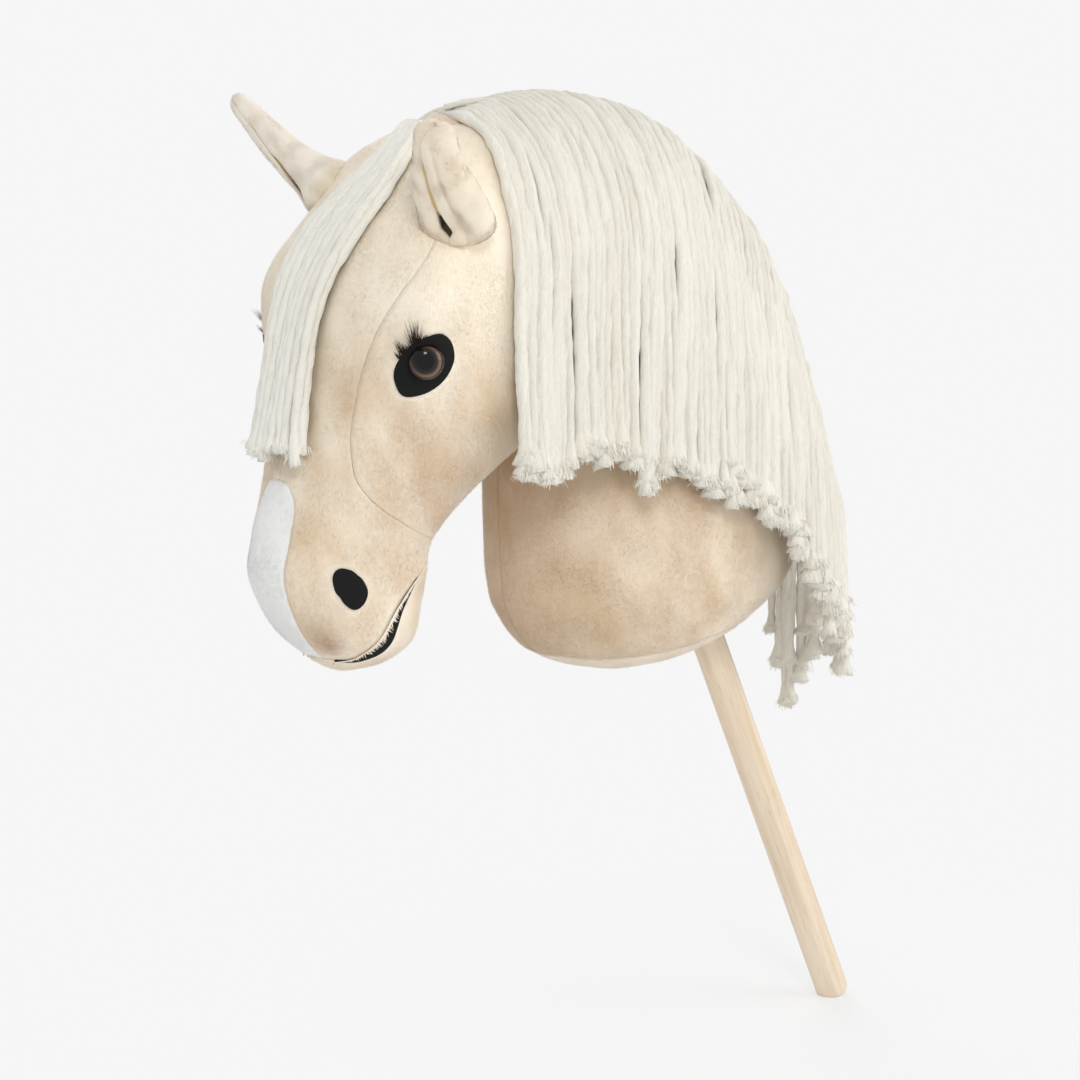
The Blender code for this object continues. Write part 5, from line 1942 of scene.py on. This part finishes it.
@dataclass(frozen=True)
class Mane:
    """The rope mane: a fringe sewn along the crest in slices, in two layers on each side.

    By the share of the crest from the poll to the back, the hems give the height of the free ends
    on the left and the right, the line gives their x, and the lift how far the roots stand out.
    """

    crest_start: tuple[float, float] = (10.8, 10.4)
    crest_end: float = 3.95
    groups: int = 6
    layers: tuple[Layer, ...] = (
        Layer(66, 3.2, 5.5, -3.5, Ropes(radius=4.3, flat=0.72)),
        Layer(75, 7.0, 0.7, 0.0, Ropes(radius=3.25, flat=0.92, lobe=0.06)),
    )
    steps: int = 46
    hem: Pairs = (
        (0, 449), (0.07, 446), (0.15, 458), (0.21, 454), (0.30, 441), (0.39, 440), (0.5, 424), (0.575, 407),
        (0.64, 394), (0.70, 376), (0.76, 357), (0.82, 333), (0.90, 303), (0.95, 284), (1.0, 268),
    )
    far_hem: Pairs = (
        (0, 449), (0.3, 441), (0.5, 424), (0.64, 394), (0.76, 357), (0.85, 330), (0.93, 316), (0.944, 250),
        (0.972, 246), (0.985, 274), (1.0, 280),
    )
    line: Pairs = ((0, -364), (0.7, -116), (0.85, -72), (1.0, -26))
    lift: Pairs = (
        (0, -3.0), (0.06, -1.5), (0.12, 2.0), (0.3, 3.5), (0.5, 3.0), (0.6, 3.5), (0.7, 6.5), (0.8, 5.5),
        (1, 5.0),
    )
    lowest_lift: float = -3.0
    clump_sizes: tuple[int, int] = (2, 6)
    clump_uneven: float = 5.0
    rope_uneven: float = 3.0
    inner_shorter: float = 14.0

    def crest(self, side: Side, share: Array) -> tuple[Array, Array]:
        """Points on the neck's crest, from the poll at 0 to low on the back at 1, and their ways out.

        Args:
            side: The side of the horse.
            share: Places along the crest, from 0 to 1.

        Returns:
            The points and the ways out.
        """
        start = self.crest_start[side is Side.RIGHT]
        u = start + (self.crest_end - start) * share
        v = np.full(u.shape, math.pi)
        return NECK.at(u, v), NECK.normal(u, v)

    def hang(self, side: Side, share: Array) -> Array:
        """Where the free ends hang, by their share of the way from the poll to the back.

        Args:
            side: The side of the horse.
            share: Places along the crest, from 0 to 1.

        Returns:
            The ends, with positive y.
        """
        around = np.clip((share - 0.62) / 0.38, 0, 1)
        x = through(self.line, share)
        y = 88.0 * np.sqrt(np.maximum(1 - around**2.2, 0)) + 4.0
        if side is Side.RIGHT:
            return np.stack([x + 34.0 * share**4, y, through(self.far_hem, share)], -1)
        return np.stack([x, y, through(self.hem, share)], -1)

    def paths(self, side: Side, drape: Drape, number: int) -> tuple[Array, Array]:
        """The ropes' paths of one layer, with their shares of the crest.

        To the draped path come a slow sway that neighbours share, a small one of each rope's own, and
        a pull towards the middle of its clump, which all grow with the distance from the root.

        Args:
            side: The side of the neck.
            drape: What finds the paths.
            number: The layer's number, from the inside.

        Returns:
            The paths, ropes by points by 3, and the shares.
        """
        layer = self.layers[number]
        count, clearance = layer.count, layer.clearance
        dice = np.random.default_rng(100 + 10 * number + side.value)
        share = (np.arange(count) + 0.5) / count
        share = share + 0.45 * share**2 * (1 - share)
        spot, way = self.crest(side, share)
        lift = np.maximum(through(self.lift, share) + layer.root_lift, self.lowest_lift)
        spot = spot + way * (lift + 1.0)[:, None]
        root = np.stack([spot[:, 0], np.full(count, layer.root_out), spot[:, 2]], -1)
        end = self.hang(side, share)
        clump = np.repeat(np.arange(count), dice.integers(*self.clump_sizes, count))[:count]
        uneven = 1 + 0.9 * smooth((share - 0.6) / 0.25)
        clumps, single = dice.normal(size=count)[clump], dice.normal(size=count)
        end[:, 2] += (clumps * self.clump_uneven + single * self.rope_uneven) * uneven
        if number == 0:
            end[:, 2] += self.inner_shorter * smooth((share - 0.6) / 0.3)
        middle = np.array([end[clump == c, 0].mean() for c in clump])
        settle = 0.45 + 0.35 * smooth((share - 0.35) / 0.3)
        paths = drape.path(root, end, settle, clearance, self.steps)
        paths[..., 1] -= (clearance - 2.8) * (1 - smooth(share / 0.1))[:, None]
        t = np.linspace(0, 1, self.steps + 1)
        k = np.arange(count)[:, None]
        slow, fast = np.sin(k * 0.31 + 3.1 * t + number), np.sin(k * 0.83 + 6.3 * t + 1.7 * number)
        sway = 1.1 * slow * t + 0.9 * fast * t
        loose = smooth(t / 0.12)
        phases = dice.uniform(0, 6.3, (3, count, 1))
        own = (1.3 * np.sin(6.5 * t + phases[0]) + 0.9 * np.sin(15.0 * t + phases[1])) * loose
        paths[..., 0] += sway + own + (middle - end[:, 0])[:, None] * 0.35 * t**2
        paths[..., 1] += 0.9 * np.sin(7 * t + phases[2]) * loose + 2.0 * t**3 * (number + 1)
        paths[..., 1] *= -side.value
        return paths, share

    def build(self, cotton: Material) -> None:
        """Builds both sides of the fringe, slice by slice.

        The ropes are flattened across the fringe's way out, taken over seven neighbouring paths.

        Args:
            cotton: The ropes' material.
        """
        drape = Drape()
        for side in Side:
            slices = [[] for _ in range(self.groups)]
            for number, layer in enumerate(self.layers):
                paths, share = self.paths(side, drape, number)
                wider = np.concatenate([paths[:1]] * 3 + [paths] + [paths[-1:]] * 3)
                calm = np.mean([wider[k:k + len(paths)] for k in range(7)], axis=0)
                out = unit(np.cross(np.gradient(calm, axis=0), np.gradient(calm, axis=1)))
                out *= np.sign(out @ np.array([0.5, -side.value, 0.8]) + 1e-6)[..., None]
                for group, surfaces in enumerate(slices):
                    mine = (share * self.groups).astype(int) == group
                    seed = 200 + 20 * group + 5 * number + side.value
                    surfaces.append(layer.ropes.sweep(paths[mine], out[mine], seed))
            for group, surfaces in enumerate(slices):
                surfaces.append(self.heading(side, group))
                node = f"mane_{side.word}_{group + 1}"
                finish_piece(Surface.joined(surfaces), f"{node}_ropes", cotton, "cotton_rope", node)

    def heading(self, side: Side, group: int) -> Surface:
        """The sewn heading of one slice, along the crest.

        Args:
            side: The side of the horse.
            group: The slice's number, from 0.

        Returns:
            The bar.
        """
        share = np.linspace(group / self.groups + 0.002, (group + 1) / self.groups - 0.002, 20)
        spot, way = self.crest(side, share)
        middle = spot + way * 3.0 + np.array([0.0, -side.value * 3.6, 0.0])
        return heading(middle, np.array([0.0, 3.3, 0.0]), way[:, None] * 2.2, share * 30)


@dataclass(frozen=True)
class Forelock:
    """The forelock: a short rope fringe at the poll that falls down the forehead.

    The stations are where the ropes pass, evenly from root to end, and the edges give the fringe's
    two sides as y by the share of the way down.
    """

    stations: tuple[float, ...] = (14.1, 12.9, 11.8, 10.65, 9.5, 8.45, 7.45, 6.5)
    left_edge: Pairs = (
        (0, -14), (0.07, -24), (0.14, -32), (0.21, -36), (0.3, -35), (0.43, -33), (0.6, -27), (0.75, -25),
        (0.87, -27), (1, -33),
    )
    right_edge: Pairs = (
        (0, 3), (0.07, -2), (0.14, 0), (0.21, 5), (0.29, 15), (0.38, 25), (0.5, 27), (0.65, 27), (0.8, 30),
        (1, 25),
    )
    layers: tuple[tuple[int, float], ...] = ((7, 3.2), (8, 7.6))
    flare: float = 6.0
    steps: int = 44
    # The forelock's pale share is painted light.
    ropes: Ropes = Ropes(
        radius=3.75, flat=0.95, lobe=0.07, flare=0.4, flare_length=12.0, fibres=34, fibre_length=1.8,
        pale=0.45,
    )
    bend: tuple[Triple, Triple] = ((-0.386, 0.0, 0.682), (-0.412, 0.0, 0.652))

    def build(self, cotton: Material) -> None:
        """Builds the fringe: ropes evenly between its two edges, off the forehead more towards their ends.

        Args:
            cotton: The ropes' material.
        """
        dice = np.random.default_rng(301)
        share = np.linspace(0, 1, self.steps + 1)
        station = np.interp(share, np.linspace(0, 1, len(self.stations)), self.stations)
        left, right = through(self.left_edge, share), through(self.right_edge, share)
        surfaces = []
        for layer, (count, clearance) in enumerate(self.layers):
            place = (np.arange(count)[:, None] + 0.5) / count
            phases = dice.uniform(0, 6.3, (2, count, 1))
            sway = 1.0 * np.sin(5.0 * share + phases[0]) + 0.8 * np.sin(12.0 * share + phases[1])
            across = left + (right - left) * place + sway * smooth(share / 0.3)
            cut = 1 - dice.uniform(0.0, 0.025, (count, 1)) * (1 + layer * 0.5) - 0.02 * (layer == 0)
            u = self.stations[0] + (station - self.stations[0]) * cut
            v = -np.arcsin(np.clip(across / HEAD.row(u)[..., 4], -0.95, 0.95)) / 1.35
            out = HEAD.normal(u, v)
            paths = HEAD.off(u, v, clearance) + out * (self.flare * share * (1 + 0.25 * layer))[:, None]
            paths[..., 1] = across
            surfaces.append(self.ropes.sweep(paths, out, 310 + layer))
        fringe = Surface.joined([*surfaces, self.heading()])
        finish_piece(
            fringe, "forelock_ropes", cotton, "cotton_rope", "forelock", body=Body.FORELOCK, bend=self.bend,
        )

    def heading(self) -> Surface:
        """The sewn heading across the poll.

        Returns:
            The bar.
        """
        across = np.linspace(-14, 4, 20)
        middle = HEAD.off(np.full(20, self.stations[0]), np.zeros(20), 3.6)
        middle[:, 1] = across
        return heading(middle, np.array([3.6, 0.0, 0.0]), np.array([0.0, 0.0, 2.4]), across / 4)


@dataclass(frozen=True)
class Studio:
    """The pale floor, the soft light and the camera."""

    target: Triple = (-0.2801, 0.0, 0.3839)
    back: Triple = (-0.5665, -0.8091, 0.1564)
    distance: float = 2.4
    lens: float = 111.7
    backdrop: float = 0.921

    def look_at(self, thing: bpy.types.Object, place: Sequence[float], target: Sequence[float]) -> None:
        """Puts a lamp or camera at a place, facing a target, with its top up.

        Args:
            thing: The lamp or camera.
            place: Where it goes.
            target: What it faces.
        """
        back = unit(np.array(place, float) - np.array(target, float))
        right = unit(np.cross([0.0, 0.0, 1.0], back))
        up = np.cross(back, right)
        matrix = np.eye(4)
        matrix[:3, 0], matrix[:3, 1], matrix[:3, 2], matrix[:3, 3] = right, up, back, place
        thing.matrix_world = Matrix(matrix.tolist())

    def add_camera(self) -> None:
        """The camera, fitted to the photograph's view."""
        data = bpy.data.cameras.new("camera")
        data.lens = self.lens
        data.sensor_width = 36.0
        camera = add_object("camera", data)
        self.look_at(camera, np.array(self.target) + np.array(self.back) * self.distance, self.target)
        bpy.context.scene.camera = camera

    def add_lamps(self) -> None:
        """Square soft lamps that face the head: a key, a fill and a rim light."""
        for name, place, size, power, tint in (
            ("key", (-1.3, -1.9, 1.7), 0.55, 16.0, (1.0, 0.99, 0.97)),
            ("fill", (1.7, -1.8, 1.2), 1.8, 24.0, (1.0, 1.0, 1.0)),
            ("rim", (0.4, 1.9, 2.0), 1.4, 16.0, (1.0, 1.0, 1.0)),
        ):
            data = bpy.data.lights.new(name, "AREA")
            data.size = size
            data.energy = power
            data.color = tint
            self.look_at(add_object(name, data), place, (-0.33, 0.0, 0.48))

    def build(self) -> None:
        """Sets up the studio."""
        self.add_camera()
        self.add_lamps()
        self.set_world()
        self.add_floor()
        bpy.context.scene.view_settings.view_transform = "Standard"

    def set_world(self) -> None:
        """A pale room, and the pale backdrop for what the camera, a mirror or glass sees."""
        world = bpy.data.worlds.new("studio")
        world.use_nodes = True
        bpy.context.scene.world = world
        made = Nodes(world.node_tree)
        made.tree.nodes.clear()
        room = made.node("Background", Color=(0.97, 0.985, 1.0, 1.0), Strength=0.74)
        sheet = made.node("Background", Color=(self.backdrop,) * 3 + (1.0,))
        mixed = made.node("MixShader", i0=made.seen_by_eye(), i1=room, i2=sheet)
        made.feed(made.tree.nodes.new("ShaderNodeOutputWorld").inputs[0], mixed)

    def add_floor(self) -> None:
        """The floor: its own pale light where the camera sees it, and some of its shade near the stick."""
        x, y = np.meshgrid([-4000.0, 0.0, 4000.0], [-4000.0, 0.0, 4000.0])
        made = Dressing("floor")
        far = made.node("VectorMath", {"operation": "LENGTH"}, output="Value", i0=made.place())
        shade = (1.0 - (far * 2.4)).clamped() * 0.45
        glow = made.node("Emission", Color=(self.backdrop,) * 3 + (1.0,), Strength=1.0)
        matt = Value(made.tree, made.shader.outputs[0])
        mixed = made.node("MixShader", i0=made.seen_by_eye() * (1.0 - shade), i1=matt, i2=glow)
        made.feed(made.tree.nodes["Material Output"].inputs["Surface"], mixed)
        cloth = made.finish(Base_Color=(0.86, 0.86, 0.86, 1.0), Roughness=0.9, Specular_IOR_Level=0.0)
        Surface.grid(np.stack([x, y, np.zeros((3, 3))], -1)).build("floor", cloth)


def dress_hidden() -> None:
    """Gives the CAD pieces that stay hidden inside the horse their plastics."""
    sleeve = Moulded("sleeve_plastic", (196, 192, 182)).material()
    washer = Moulded("washer_plastic", (214, 212, 206)).material()
    for node, material in (
        ("stick_sleeve", sleeve), ("sleeve_end_cap", sleeve),
        ("eye_washer_left", washer), ("eye_washer_right", washer),
    ):
        data = bpy.data.objects[node].data
        data.materials.clear()
        data.materials.append(material)


def main() -> None:
    """Builds every piece of the horse, and the studio."""
    logging.basicConfig(level=logging.INFO, format="%(name)s: %(message)s")
    Studio().build()
    Stick().build()
    dress_hidden()
    Neck().build()
    Head().build()
    cream = Plush("ear_plush", (236, 226, 207), (229, 214, 192)).material()
    gold = Plush("ear_gold", (216, 186, 132), (198, 164, 112)).material()
    for side in Side:
        Eye(side).build()
    broad = ((0, 0.80), (0.12, 0.87), (0.3, 0.86), (0.6, 0.78), (0.85, 0.66), (0.95, 0.62), (1, 0.60))
    parted = ((0, 3.14), (0.15, 3.14), (0.22, 2.96), (0.29, 2.97), (0.36, 3.01), (0.75, 3.02), (1, 3.10))
    Ear(Side.LEFT, (-402, -82, 609), (-447, -119, 685), broad, parted, 0.06).build(cream, gold)
    narrow = (
        (0, 1.2), (0.1, 1.1), (0.2, 0.88), (0.4, 0.62), (0.6, 0.50), (0.75, 0.42), (0.92, 0.32), (1, 0.30),
    )
    closed = ((0, 3.14), (0.13, 3.14), (0.22, 2.98), (0.4, 3.02), (0.52, 3.13), (1, 3.14))
    # The far ear's larger pale share is painted light.
    Ear(Side.RIGHT, (-405, 63, 629), (-442, 149, 698), narrow, closed, 0.4).build(cream, gold)
    cotton = Cotton("cotton_rope", (234, 230, 219), (213, 204, 186)).material()
    Mane().build(cotton)
    # The forelock's cotton is a paler copy of the mane's, painted light.
    Forelock().build(Cotton("cotton_rope_bright", (243, 240, 230), (222, 214, 198)).material())


if __name__ == "__main__":
    main()
